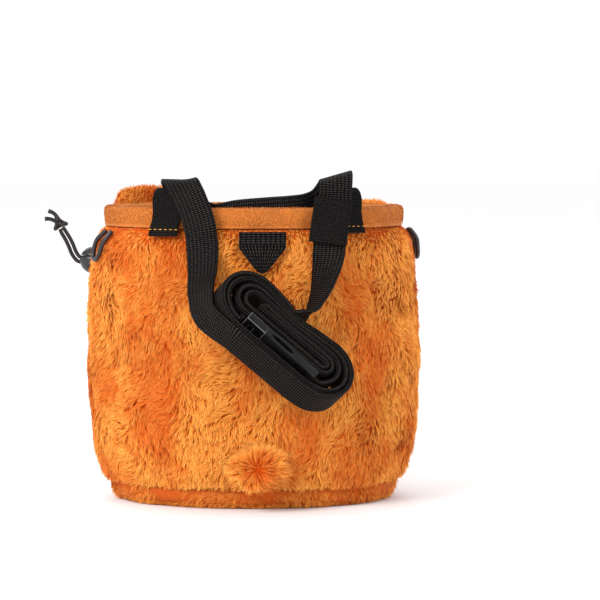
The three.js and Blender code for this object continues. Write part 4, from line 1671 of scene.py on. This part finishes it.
@dataclass
class BeltLoops:
    """Two webbing loops sewn over the rim, with their hem stitches."""

    form: BagForm = FORM
    left_turn: float = math.radians(-32.5)
    right_turn: float = math.radians(37.5)
    width: float = 16.0
    cloth: float = 1.4
    rise: float = 9.0
    left_drop: float = 3.6
    right_drop: float = 2.0
    hem_station: int = 7

    def route(self, turn: float, hem_drop: float) -> Route:
        """Stations of a loop: outside under the rim, over the top, and down inside.

        Args:
            turn: place round the rim.
            hem_drop: how far the hem lies under the seam.

        Returns:
            The route over the rim.
        """
        form = self.form
        normal = form.normal(turn, form.rim_half)
        across = np.array([-normal[1], normal[0], 0.0])
        clear = self.cloth / 2 + form.gap
        fur_out = float(form.tip_half(form.seam - hem_drop)) - form.rim_half
        inside = -form.rim_thick - clear - self.width * 0.045
        top = form.height + self.rise
        side = [
            (fur_out + clear + 0.5, form.seam - hem_drop),
            (fur_out + clear - 0.2, form.seam - 0.4),
            (1.9 + clear, form.seam + form.rim_height * 0.35),
            (0.7 + clear, form.height - 2),
            (1.0 + clear, form.height + self.rise * 0.4),
            (0.4, top - 1.6),
            ((inside + clear) / 2, top),
            (inside - 0.2, top - 1.8),
            (inside - 0.8, form.height + self.rise * 0.35),
            (inside - 0.15, form.height - 2),
            (inside - 0.1, form.seam + 1),
        ]
        points = np.array([form.point(turn, form.rim_half, z) + normal * out for out, z in side])
        return Route.through(points, np.tile(across, (len(points), 1)), 0.45)

    def build(self) -> None:
        """Makes both loops and their stitches."""
        weave = Weave(self.width, self.cloth)
        for name, turn, drop in (
            ("left", self.left_turn, self.left_drop),
            ("right", self.right_turn, self.right_drop),
        ):
            route = self.route(turn, drop)
            loop = weave.ribbon(f"loop_{name}", route)
            settle(loop, Finish.LOOP_WEBBING, "keeper_webbing", f"belt_loop_{name}")
            side, face = route.sides()
            at = self.hem_station
            ends = np.linspace(-self.width / 2 + 0.8, self.width / 2 - 0.8, 12)[:, None]
            path = route.middle[at] + side[at] * ends
            out = self.form.normal(turn, self.form.rim_half)
            lift = np.sign(np.dot(face[at], out)) * face[at] * self.cloth * 0.5
            StitchRow(f"loop_{name}_stitches", path + lift, out).build("keeper_webbing")


class Face(Enum):
    """What a belt station stands off from."""

    FUR = "fur"
    RIM = "rim"
    LINING = "lining"


@dataclass(frozen=True)
class Station:
    """Belt station: shares of the half width and height, the stand-off and the width's way."""

    across: float
    height: float
    face: Face
    stand: float
    wide: Point

    def middle(self, form: BagForm) -> Array:
        """Place of the station's middle.

        Args:
            form: sizes of the bag.

        Returns:
            The place in millimetres.
        """
        x, z = self.across * form.rim_half, self.height * form.height
        reach = {
            Face.FUR: float(form.tip_half(z)) + self.stand,
            Face.RIM: form.rim_half + self.stand,
            Face.LINING: form.rim_half - form.rim_thick - self.stand,
        }[self.face]
        return np.array([x, -float(form.depth(x, reach)), z])


@dataclass
class Roll:
    """Frame of the rolled belt: along it, across its layers and along the webbing's width."""

    form: BagForm = FORM
    slope: float = math.radians(42)
    tilt: float = math.radians(45)
    layer: float = 2.9
    turns: float = 2.62
    pinch: float = 0.18
    upper_end: float = 20.5
    lower_end: float = 23.5
    webbing_width: float = 16.0
    buckle_length: float = 43.0
    buckle_thick: float = 4.6
    outer_layers: float = 5.28
    buckle_layers: float = 4.07
    side_share: float = 0.0925
    height_share: float = 0.5875
    quarters: tuple[float, float, float, float] = (0.16, 0.34, 0.66, 0.84)
    turn_step: float = 0.03

    def __post_init__(self) -> None:
        """Works out the directions and the middle."""
        lower_left = np.array([-math.sin(self.slope), 0.0, -math.cos(self.slope)])
        viewer = np.array([0.0, -1.0, 0.0])
        self.long = np.array([math.cos(self.slope), 0.0, -math.sin(self.slope)])
        self.out = lower_left * math.cos(self.tilt) + viewer * math.sin(self.tilt)
        self.wide = -lower_left * math.sin(self.tilt) + viewer * math.cos(self.tilt)
        self.outer_layer = self.layer * self.outer_layers
        back = (self.outer_layer + self.webbing_width / 2) * math.sqrt(0.5)
        z = self.form.height * self.height_share
        y = -float(self.form.depth(0, self.form.tip_half(z))) - back - self.form.gap
        self.middle = np.array([self.form.rim_width * self.side_share, y, z])
        self.buckle_place = self.layer * self.buckle_layers
        centre = (self.lower_end - self.upper_end) / 2 + 1.5
        self.buckle_start = centre - self.buckle_length / 2
        self.buckle_end = centre + self.buckle_length / 2

    def point(self, u: Array | float, v: Array | float, w: Array | float = 0.0) -> Array:
        """Place in the bag's frame of a point of the roll's frame."""
        u, v, w = (np.asarray(q, float)[..., None] for q in (u, v, w))
        return self.middle + self.long * u + self.out * v + self.wide * w

    def wind(self, turns: float, lane: float) -> tuple[float, float]:
        """Place in the roll after some turns, for a lane of the doubled strap.

        Args:
            turns: turns inwards from the outside.
            lane: 0 outside, 1 inside the doubled strap.

        Returns:
            The places along the roll and across its layers.
        """
        reach = self.outer_layer - 2 * self.layer * turns + self.layer * lane
        part = turns - math.floor(turns)
        beyond = min(max((reach - self.layer * 2.2) / (self.layer * 1.5), 0), 1)
        lean = 0.5 + 0.5 * math.cos(2 * math.pi * part)
        out = reach + self.buckle_thick * 1.02 * beyond * float(ease(lean, 0.02, 0.9))
        a, b, c, d = self.quarters
        if part <= a:
            return self.lower_end * part / a, out
        if part <= b:
            swing = math.pi * (part - a) / (b - a)
            return self.lower_end + out * math.sin(swing), out * math.cos(swing)
        if part <= c:
            u = self.lower_end - (self.lower_end + self.upper_end) * (part - b) / (c - b)
            return u, -out * (1 - self.pinch * math.exp(-((u / (self.upper_end * 0.5)) ** 2)))
        if part <= d:
            swing = math.pi * (part - c) / (d - c)
            return -self.upper_end - out * math.sin(swing), -out * math.cos(swing)
        return -self.upper_end * (1 - part) / (1 - d), out

    def run(self, start: float, end: float, lane: float) -> list[Array]:
        """Middle line of a wound stretch.

        Args:
            start: turns at the start.
            end: turns at the end.
            lane: lane of the doubled strap.

        Returns:
            Points in millimetres.
        """
        count = max(int(abs(end - start) / self.turn_step + 0.5), 1)
        places = [self.wind(start + (end - start) * k / count, lane) for k in range(count + 1)]
        return [self.point(u, v) for u, v in places]


@dataclass
class WaistBelt:
    """One strap: from the buckle round the roll, up, through the bag and back to the buckle."""

    form: BagForm = FORM
    roll: Roll = field(default_factory=Roll)
    thick: float = 1.7
    shown_thick: float = 2.1
    keeper_width: float = 18.5
    keeper_shift: float = -0.014
    keeper_cloth: float = 1.4
    outer_run: Row = (0.835, -0.14)
    inner_start: float = 0.53
    core_end: float = 1.215
    left: tuple[Station, ...] = (
        Station(-0.285, 0.665, Face.FUR, 26.5, (0.6, -0.65, 0.46)),
        Station(-0.315, 0.735, Face.FUR, 18.5, (0.75, -0.55, 0.36)),
        Station(-0.31, 0.795, Face.FUR, 8.0, (0.9, -0.38, 0.22)),
        Station(-0.315, 0.874, Face.FUR, 2.2, (0.97, -0.22, 0.05)),
        Station(-0.33, 0.937, Face.RIM, 7.6, (0.97, -0.22, 0.0)),
        Station(-0.36, 0.988, Face.RIM, 6.0, (0.96, -0.25, 0.05)),
        Station(-0.395, 1.033, Face.RIM, 5.4, (0.94, -0.3, 0.04)),
        Station(-0.435, 1.069, Face.RIM, 3.6, (0.93, -0.34, -0.02)),
        Station(-0.475, 1.086, Face.RIM, -1.6, (0.93, -0.36, -0.04)),
        Station(-0.485, 1.072, Face.LINING, 5.4, (0.92, -0.36, 0.12)),
        Station(-0.445, 1.033, Face.LINING, 6.4, (0.8, -0.3, 0.5)),
        Station(-0.375, 0.988, Face.LINING, 4.2, (0.45, -0.15, 0.88)),
        Station(-0.255, 0.96, Face.LINING, 2.0, (0.06, 0.0, 1.0)),
    )
    back: tuple[Station, ...] = (
        Station(-0.08, 0.973, Face.LINING, 1.5, (0.0, 0.0, 1.0)),
        Station(0.105, 0.981, Face.LINING, 1.5, (0.0, 0.0, 1.0)),
        Station(0.25, 0.986, Face.LINING, 1.5, (-0.04, 0.0, 1.0)),
    )
    right: tuple[Station, ...] = (
        Station(0.36, 0.993, Face.LINING, 3.6, (-0.25, -0.05, 0.97)),
        Station(0.455, 1.014, Face.LINING, 7.0, (-0.7, -0.1, 0.7)),
        Station(0.515, 1.052, Face.LINING, 7.4, (-0.93, -0.2, 0.25)),
        Station(0.545, 1.089, Face.LINING, 5.0, (-0.93, -0.2, -0.2)),
        Station(0.55, 1.101, Face.RIM, -1.6, (-0.92, -0.22, -0.28)),
        Station(0.545, 1.077, Face.RIM, 4.6, (-0.92, -0.22, -0.25)),
        Station(0.54, 1.03, Face.RIM, 5.2, (-0.95, -0.15, -0.1)),
        Station(0.53, 0.985, Face.RIM, 6.2, (-0.97, -0.1, 0.05)),
        Station(0.515, 0.937, Face.RIM, 7.6, (-0.97, -0.05, 0.15)),
        Station(0.503, 0.885, Face.FUR, 3.3, (-0.97, 0.02, 0.2)),
        Station(0.493, 0.833, Face.FUR, 5.4, (-0.92, 0.35, 0.1)),
        Station(0.475, 0.783, Face.FUR, 6.8, (-0.75, 0.62, -0.02)),
        Station(0.449, 0.735, Face.FUR, 8.4, (-0.6, 0.74, -0.2)),
        Station(0.416, 0.697, Face.FUR, 9.0, (-0.52, 0.74, -0.35)),
        Station(0.372, 0.662, Face.FUR, 9.2, (-0.48, 0.71, -0.5)),
        Station(0.315, 0.648, Face.FUR, 9.0, (-0.47, 0.71, -0.52)),
    )

    def route(self) -> Route:
        """Whole route of the strap, with two stations to each rib.

        Returns:
            The route, from one end at the buckle to the other.
        """
        roll, gap = self.roll, self.form.gap
        outer = [roll.point(roll.buckle_start - 4 * gap, roll.buckle_place)]
        outer += roll.run(*self.outer_run, 0)
        inner = roll.run(self.inner_start, roll.turns, 1)
        core = roll.run(roll.turns, self.core_end, 0)
        fold = (inner[-1] + core[0]) / 2 - roll.long * roll.layer / 2
        ends = [
            roll.point(roll.buckle_end + 4.4, roll.buckle_place - 1.6),
            roll.point(roll.buckle_end + 2 * gap, roll.buckle_place),
        ]
        middle = self.left + self.back + self.right
        wound = [*inner, fold, *core, *ends]
        points = np.array([*outer, *(s.middle(self.form) for s in middle), *wound])
        across = np.array(
            [roll.wide] * len(outer)
            + [np.array(s.wide) for s in middle]
            + [-roll.wide] * len(wound)
        )
        return Route.through(points, across, 0.55)

    def keeper_route(self) -> Route:
        """Route of the second layer on the front of the right strap.

        Returns:
            The route, from the rim down.
        """
        lift = self.thick + self.form.gap + 0.5
        shift = self.keeper_shift
        rows = [
            Station(s.across + shift, s.height, s.face, s.stand + lift, s.wide)
            for s in self.right[6:10]
        ]
        points = np.array([s.middle(self.form) for s in rows])
        return Route.through(points, np.array([s.wide for s in rows]), 0.45)

    def build(self) -> None:
        """Makes the belt and its sewn keeper."""
        weave = Weave(self.roll.webbing_width, self.shown_thick, rib=0.07, columns=7)
        belt = weave.ribbon("belt_strap", self.route())
        settle(belt, Finish.WEBBING, "webbing", "waist_belt")
        route = self.keeper_route()
        keeper = Weave(self.keeper_width, self.keeper_cloth).ribbon("belt_keeper_strap", route)
        settle(keeper, Finish.LOOP_WEBBING, "keeper_webbing", "belt_keeper")


# Hard parts


def rounded_copy(node: str, name: str, edge: float, steps: int = 2) -> Piece:
    """Copy of a CAD node with merged corners and rounded edges, the rounded edges painted lighter
    as a painted highlight.

    Args:
        node: name of the CAD node.
        name: name of the copy.
        edge: width of the rounding in millimetres.
        steps: number of faces across a rounded edge.

    Returns:
        The copy, at the origin.
    """
    made = new_object(name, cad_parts[node].data.copy())
    work = bmesh.new()
    work.from_mesh(made.data)
    bmesh.ops.remove_doubles(work, verts=work.verts, dist=2e-6)
    bmesh.ops.dissolve_limit(
        work,
        angle_limit=math.radians(1.0),
        verts=work.verts,
        edges=work.edges,
    )
    bmesh.ops.recalc_face_normals(work, faces=work.faces)
    work.to_mesh(made.data)
    work.free()
    bevel = made.modifiers.new("edges", "BEVEL")
    bevel.width = edge * MM
    bevel.segments = steps
    bevel.limit_method = "ANGLE"
    bevel.angle_limit = math.radians(35)
    bevel.harden_normals = False
    bevel.use_clamp_overlap = True
    # The bevel faces take the second material: a painted highlight along the edges.
    bevel.material = 1
    made.data.materials.clear()
    made.data.materials.append(SHELF.take(Finish.BUCKLE))
    made.data.materials.append(SHELF.take(Finish.BUCKLE_EDGE_HIGHLIGHT))
    solid = baked(made, name)
    solid.data.polygons.foreach_set("use_smooth", [True] * len(solid.data.polygons))
    solid.data.set_sharp_from_angle(angle=math.radians(40))
    return solid


@dataclass
class Buckle:
    """Side release buckle in the roll: the socket and the clip inside it."""

    edge: float = 0.5

    def build(self) -> None:
        """Makes both halves."""
        socket = rounded_copy("buckle_socket", "buckle_shell", self.edge)
        settle(socket, None, "buckle_plastic", "buckle_socket")
        clip = rounded_copy("buckle_clip", "buckle_prongs", self.edge)
        settle(clip, None, "buckle_plastic", "buckle_clip")


@dataclass
class BallLock:
    """Slotted ball that grips the drawstring, in a barrel and a push button."""

    place: Point = (-83.6, 26.0, 119.6)
    size: float = 14.0
    button_share: float = 0.36
    cord: float = 2.0
    gap: float = 0.35
    lean: float = math.radians(-13)

    def profile(self, low: float, high: float) -> list[Row]:
        """Radius and height pairs of a ball's slice with rounded edges.

        Args:
            low: height of the slice's foot.
            high: height of its top.

        Returns:
            The pairs, from the foot up.
        """
        ball = self.size / 2
        heights = np.linspace(low, high, 20)
        rows = [(math.sqrt(max(ball**2 - h**2, 0)), h) for h in heights]
        rim = 0.5
        if low > -ball + 0.1:
            start = rows[0][0]
            edge = (start - rim * 0.3, low + rim * 0.25)
            rows = [(0.01, low), (start - rim, low), edge, *rows[2:]]
        if high < ball - 0.1:
            end = rows[-1][0]
            edge = (end - rim * 0.3, high - rim * 0.25)
            rows = [*rows[:-2], edge, (end - rim, high), (0.01, high)]
        return rows

    def part(self, name: str, low: float, high: float) -> Piece:
        """Slice of the ball with the cords' slot cut through it.

        Args:
            name: name of the piece.
            low: height of the slice's foot.
            high: height of its top.

        Returns:
            The cut slice.
        """
        rows = np.array(self.profile(low, high))
        turn = circle(56)
        radius = np.maximum(rows[:, 0], 0.02)[:, None]
        points = np.stack(
            [radius * np.cos(turn), radius * np.sin(turn), rows[:, 1][:, None] + 0 * turn],
            axis=-1,
        )
        made = grid_object(name, points + np.array(self.place), around=True, caps=True)
        box = bpy.data.meshes.new("slot")
        work = bmesh.new()
        sides = (self.size * 2, self.cord + 0.7, 2 * self.cord + 1)
        size = Matrix.Diagonal((*(side * MM for side in sides), 1))
        place = Matrix.Translation(Vector(self.place) * MM) @ Matrix.Rotation(self.lean, 4, "Z")
        bmesh.ops.create_cube(work, size=1.0, matrix=place @ size)
        work.to_mesh(box)
        work.free()
        cutter = new_object("slot_cutter", box)
        cut = made.modifiers.new("slot", "BOOLEAN")
        cut.operation = "DIFFERENCE"
        cut.object = cutter
        cut.solver = "EXACT"
        solid = baked(made, name)
        bpy.data.objects.remove(cutter)
        solid.data.polygons.foreach_set("use_smooth", [True] * len(solid.data.polygons))
        solid.data.set_sharp_from_angle(angle=math.radians(45))
        return solid

    def build(self) -> list[Piece]:
        """Makes the barrel and the button, and returns both.

        Returns:
            The two finished pieces.
        """
        cut = self.size * (0.5 - self.button_share) + 0.4
        barrel = self.part("lock_ball_barrel", -self.size / 2, cut)
        button = self.part("lock_ball_button", cut + self.gap, self.size / 2)
        settle(barrel, Finish.LOCK, "lock_plastic", "lock_barrel")
        settle(button, Finish.LOCK, "lock_plastic", "lock_button")
        return [barrel, button]


@dataclass
class Drawstring:
    """Two free strands from the bag through the ball lock to their knot."""

    cord: float = 2.0
    knot_place: Point = (-101.4, 28.3, 138.6)
    upper: tuple[Point, ...] = (
        (-75.6, 24.2, 120.75),
        (-76.9, 24.5, 120.75),
        (-80.0, 25.2, 120.75),
        (-84.0, 26.1, 120.75),
        (-88.0, 27.0, 120.75),
        (-90.9, 27.6, 121.3),
        (-92.9, 27.9, 124.2),
        (-94.4, 28.1, 127.9),
        (-96.2, 28.2, 131.4),
        (-98.2, 28.2, 134.6),
        (-99.6, 28.3, 136.6),
    )
    lower: tuple[Point, ...] = (
        (-75.7, 24.2, 118.45),
        (-77.0, 24.5, 118.45),
        (-80.0, 25.2, 118.45),
        (-84.0, 26.1, 118.45),
        (-88.4, 27.1, 118.45),
        (-91.8, 27.8, 118.9),
        (-94.7, 28.1, 122.2),
        (-96.5, 28.2, 126.4),
        (-98.3, 28.3, 130.2),
        (-100.4, 28.3, 133.8),
        (-101.0, 28.3, 135.6),
    )

    def strand(self, name: str, rows: Sequence[Point], step: float = 0.4) -> tuple[Piece, Array]:
        """One strand: the piece and its path in metres.

        Args:
            name: name of the piece.
            rows: points it goes through.
            step: distance between its rings.

        Returns:
            The tube and its path.
        """
        places = np.array(rows)
        route = Route.through(places, np.tile((0.0, 0.0, 1.0), (len(places), 1)), step)
        piece = round_tube(name, route.middle, self.cord)
        return piece, route.middle * MM

    def knot(self) -> Piece:
        """Overhand knot of the doubled cord, with its two cut ends.

        Returns:
            The knot as one piece.
        """
        turn = np.linspace(0, 2 * np.pi, 90)
        loop = np.stack(
            [
                2.35 * np.sin(turn) + 1.15 * np.sin(2 * turn),
                1.35 * np.sin(3 * turn),
                2.35 * np.cos(turn) - 1.15 * np.cos(2 * turn),
            ],
            axis=1,
        )
        lean = math.radians(-35)
        flat = np.stack(
            [
                loop[:, 0] * math.cos(lean) - loop[:, 2] * math.sin(lean),
                loop[:, 1],
                loop[:, 0] * math.sin(lean) + loop[:, 2] * math.cos(lean),
            ],
            axis=1,
        )
        parts = [round_tube("knot_loop", flat + np.array(self.knot_place), self.cord * 1.1)]
        tails = (
            ((0.3, 0.2, 1.0), (-1.4, 0.2, 3.6), (-3.3, 0.3, 5.4), (-5.6, 0.5, 6.3)),
            ((-0.8, 0.4, 0.2), (-3.2, 0.4, 1.6), (-5.6, 0.2, 2.3), (-7.5, 0.0, 2.2)),
        )
        for k, rows in enumerate(tails):
            places = np.array(rows) + np.array(self.knot_place)
            route = Route.through(places, np.tile((0.0, 1.0, 0.0), (4, 1)), 0.4)
            parts.append(round_tube(f"knot_tail_{k}", route.middle, self.cord, swell=frayed))
        return joined("drawstring_knot", parts)

    def build(self, lock: list[Piece]) -> None:
        """Makes the strands and the knot.

        Args:
            lock: pieces of the ball lock; not used.
        """
        knot = settle(self.knot(), Finish.BRAID, "cord", "cord_knot")
        upper, upper_path = self.strand("drawstring_strand_upper", self.upper)
        lower, lower_path = self.strand("drawstring_strand_lower", self.lower)
        for piece, path, node, others in (
            (upper, upper_path, "drawstring_upper", [*lock, knot]),
            (lower, lower_path, "drawstring_lower", []),
        ):
            settle(piece, Finish.BRAID, "cord", node)


@dataclass
class SideLoops:
    """Two small loops of coated cord at the sides, under the rim."""

    form: BagForm = FORM
    cord: float = 2.4
    drop: float = 15.0
    rows: tuple[Row, ...] = (
        (-4.2, 0.02),
        (-6.0, 0.35),
        (-6.6, 0.68),
        (-5.2, 0.93),
        (-2.4, 1.0),
        (0.2, 0.84),
        (1.3, 0.45),
        (1.4, 0.02),
    )

    def places(self, turn: float, lean: float) -> Array:
        """Middle line of a loop that hangs from the seam over the fur.

        Args:
            turn: place round the bag.
            lean: how far its top leans, in degrees.

        Returns:
            Points in millimetres.
        """
        points = []
        for sideways, drop in self.rows:
            z = self.form.seam - self.cord / 2 - self.form.gap - self.drop * drop
            locks = self.form.lock_lift * (-0.15 + 0.65 * min(drop * 2.5, 1))
            half = float(self.form.fur_half(z)) + locks + self.form.gap + self.cord / 2
            at = math.radians(turn + (sideways + lean * (1 - drop)) * 0.95)
            points.append(self.form.point(at, half, z))
        return np.array(points)

    def build(self) -> None:
        """Makes both loops."""
        for name, turn, lean in (("left", -67.0, 4.0), ("right", 101.0, -4.0)):
            places = self.places(turn, lean)
            route = Route.through(places, np.tile((0.0, 0.0, 1.0), (len(places), 1)), 0.6)
            tube = round_tube(f"side_cord_{name}", route.middle, self.cord, 16)
            settle(tube, Finish.LOOP_CORD, "loop_cord", f"side_loop_{name}")


@dataclass
class Tab:
    """Plain woven tab under the rim: flat at the top, pointed at the bottom, ribbed two ways."""

    form: BagForm = FORM
    width: float = 23.0
    height: float = 20.0
    cloth: float = 1.3
    rows: int = 90
    columns: int = 72
    outline: tuple[Row, ...] = (
        (0.0, 1.0),
        (0.36, 1.0),
        (0.4, 0.985),
        (0.44, 0.93),
        (0.86, 0.36),
        (0.94, 0.235),
        (0.98, 0.14),
        (1.0, 0.04),
    )

    def build(self) -> None:
        """Makes the tab with its ribs."""
        form = self.form
        middle, top = form.rim_width * 0.0355, form.seam - 1.2
        share = np.linspace(0, 1, self.rows)[:, None]
        outline = np.array(self.outline)
        half = self.width / 2 * np.interp(share, outline[:, 0], outline[:, 1])
        z = top - self.height * share + 0 * half
        place = np.linspace(-1, 1, self.columns)[None, :]
        x = middle + half * place
        z = np.broadcast_to(z, x.shape)
        split = ease(share, 0.44, 0.5)
        level = 0.2 * np.sin(z * 2 * np.pi / 1.3) * (1 - split)
        upright = 0.2 * np.sin((x - middle) * 2 * np.pi / 1.3) * split
        hem = ease(1 - np.abs(place), 0.0, 0.07) * ease(share, 0.0, 0.03)
        front = self.cloth - 0.28 * (1 - hem) + (level + upright) * hem

        def skin(out: Array) -> Array:
            """Points that stand off the fur."""
            reach = form.tip_half(z) + form.gap + out
            return np.stack([x, -form.depth(x, reach), z], axis=-1)

        loops = np.concatenate([skin(front), skin(0 * front)[:, ::-1]], axis=1)
        tab = grid_object("woven_tab", loops, around=True, caps=True)
        settle(tab, Finish.TAB_CLOTH, "tab_cloth", "back_tab")


# Studio


@dataclass
class Studio:
    """Camera at the photographed angle, a pale floor and soft white light."""

    focal: float = 176.46
    place: Point = (0.0237, -1.5, 0.1894)
    pitch: float = 3.4
    sky_light: float = 1.04
    lamps: tuple[tuple[str, Point, float, float], ...] = (
        ("key", (-1.2, -1.6, 1.3), 0.8, 40.0),
        ("fill", (1.5, -1.5, 0.9), 0.8, 9.0),
        ("back", (-0.4, 1.8, 1.0), 1.4, 8.0),
    )

    def camera(self) -> None:
        """Makes the camera."""
        data = bpy.data.cameras.new("camera")
        data.lens = self.focal
        data.sensor_width = 36.0
        data.clip_start, data.clip_end = 0.01, 100.0
        made = bpy.data.objects.new("camera", data)
        made.location = self.place
        made.rotation_euler = (math.radians(90 - self.pitch), 0.0, 0.0)
        bpy.context.scene.collection.objects.link(made)
        bpy.context.scene.camera = made

    def lamp(self, name: str, place: Sequence[float], size: float, power: float) -> None:
        """Square soft light that faces the bag.

        Args:
            name: name of the light.
            place: where it is, in metres.
            size: its side, in metres.
            power: its power in watts.
        """
        data = bpy.data.lights.new(name, "AREA")
        data.size = size
        data.energy = power
        made = bpy.data.objects.new(name, data)
        made.location = place
        way = Vector((0.0, 0.0, 0.08)) - Vector(place)
        made.rotation_euler = way.to_track_quat("-Z", "Y").to_euler()
        bpy.context.scene.collection.objects.link(made)

    def floor(self) -> None:
        """Wide pale floor."""
        mesh = bpy.data.meshes.new("floor")
        mesh.from_pydata([(-8, -8, 0), (8, -8, 0), (8, 8, 0), (-8, 8, 0)], [], [(0, 1, 2, 3)])
        made = new_object("floor", mesh)
        paint = Paint("pale_floor", Roughness=0.6, Specular_IOR_Level=0.2)
        soft = paint.noise(paint.place(), 3.0, 2.0)
        paint.tint(soft, (0.93, 0.925, 0.93), (0.95, 0.945, 0.95))
        mesh.materials.append(paint.material)

    def sky(self, strength: float) -> None:
        """White surroundings, brighter where the camera sees them directly.

        Args:
            strength: how brightly the surroundings light the bag.
        """
        world = bpy.data.worlds.new("surroundings")
        world.use_nodes = True
        bpy.context.scene.world = world
        n = Nodes(world.node_tree)
        n.tree.nodes.clear()
        lit = n.add("ShaderNodeBackground", {"Color": (1.0, 1.0, 1.0, 1.0), "Strength": strength})
        seen = n.add("ShaderNodeBackground", {"Color": (1.0, 1.0, 1.0, 1.0), "Strength": 1.0})
        ray = n.add("ShaderNodeLightPath").outputs["Is Camera Ray"]
        both = n.add("ShaderNodeMixShader", {0: ray, 1: lit.outputs[0], 2: seen.outputs[0]})
        n.add("ShaderNodeOutputWorld", {"Surface": both.outputs[0]})

    def build(self) -> None:
        """Makes the whole studio."""
        self.camera()
        self.floor()
        self.sky(self.sky_light)
        for name, place, size, power in self.lamps:
            self.lamp(name, place, size, power)
        bpy.context.scene.view_settings.view_transform = "Standard"
        bpy.context.scene.view_settings.look = "None"


def main() -> None:
    """Builds the studio and the bag's pieces in order."""
    logging.basicConfig(level=logging.INFO, format="%(name)s: %(message)s")
    Studio().build()
    lock = BallLock().build()
    Drawstring().build(lock)
    SideLoops().build()
    Lining().build()
    grower = PileGrower()
    Rim().build(grower)
    FurCoat().build(grower)
    BaseFur().build(grower)
    TuftSet().build(grower)
    Tab().build()
    BeltLoops().build()
    WaistBelt().build()
    Buckle().build()


if __name__ == "__main__":
    main()
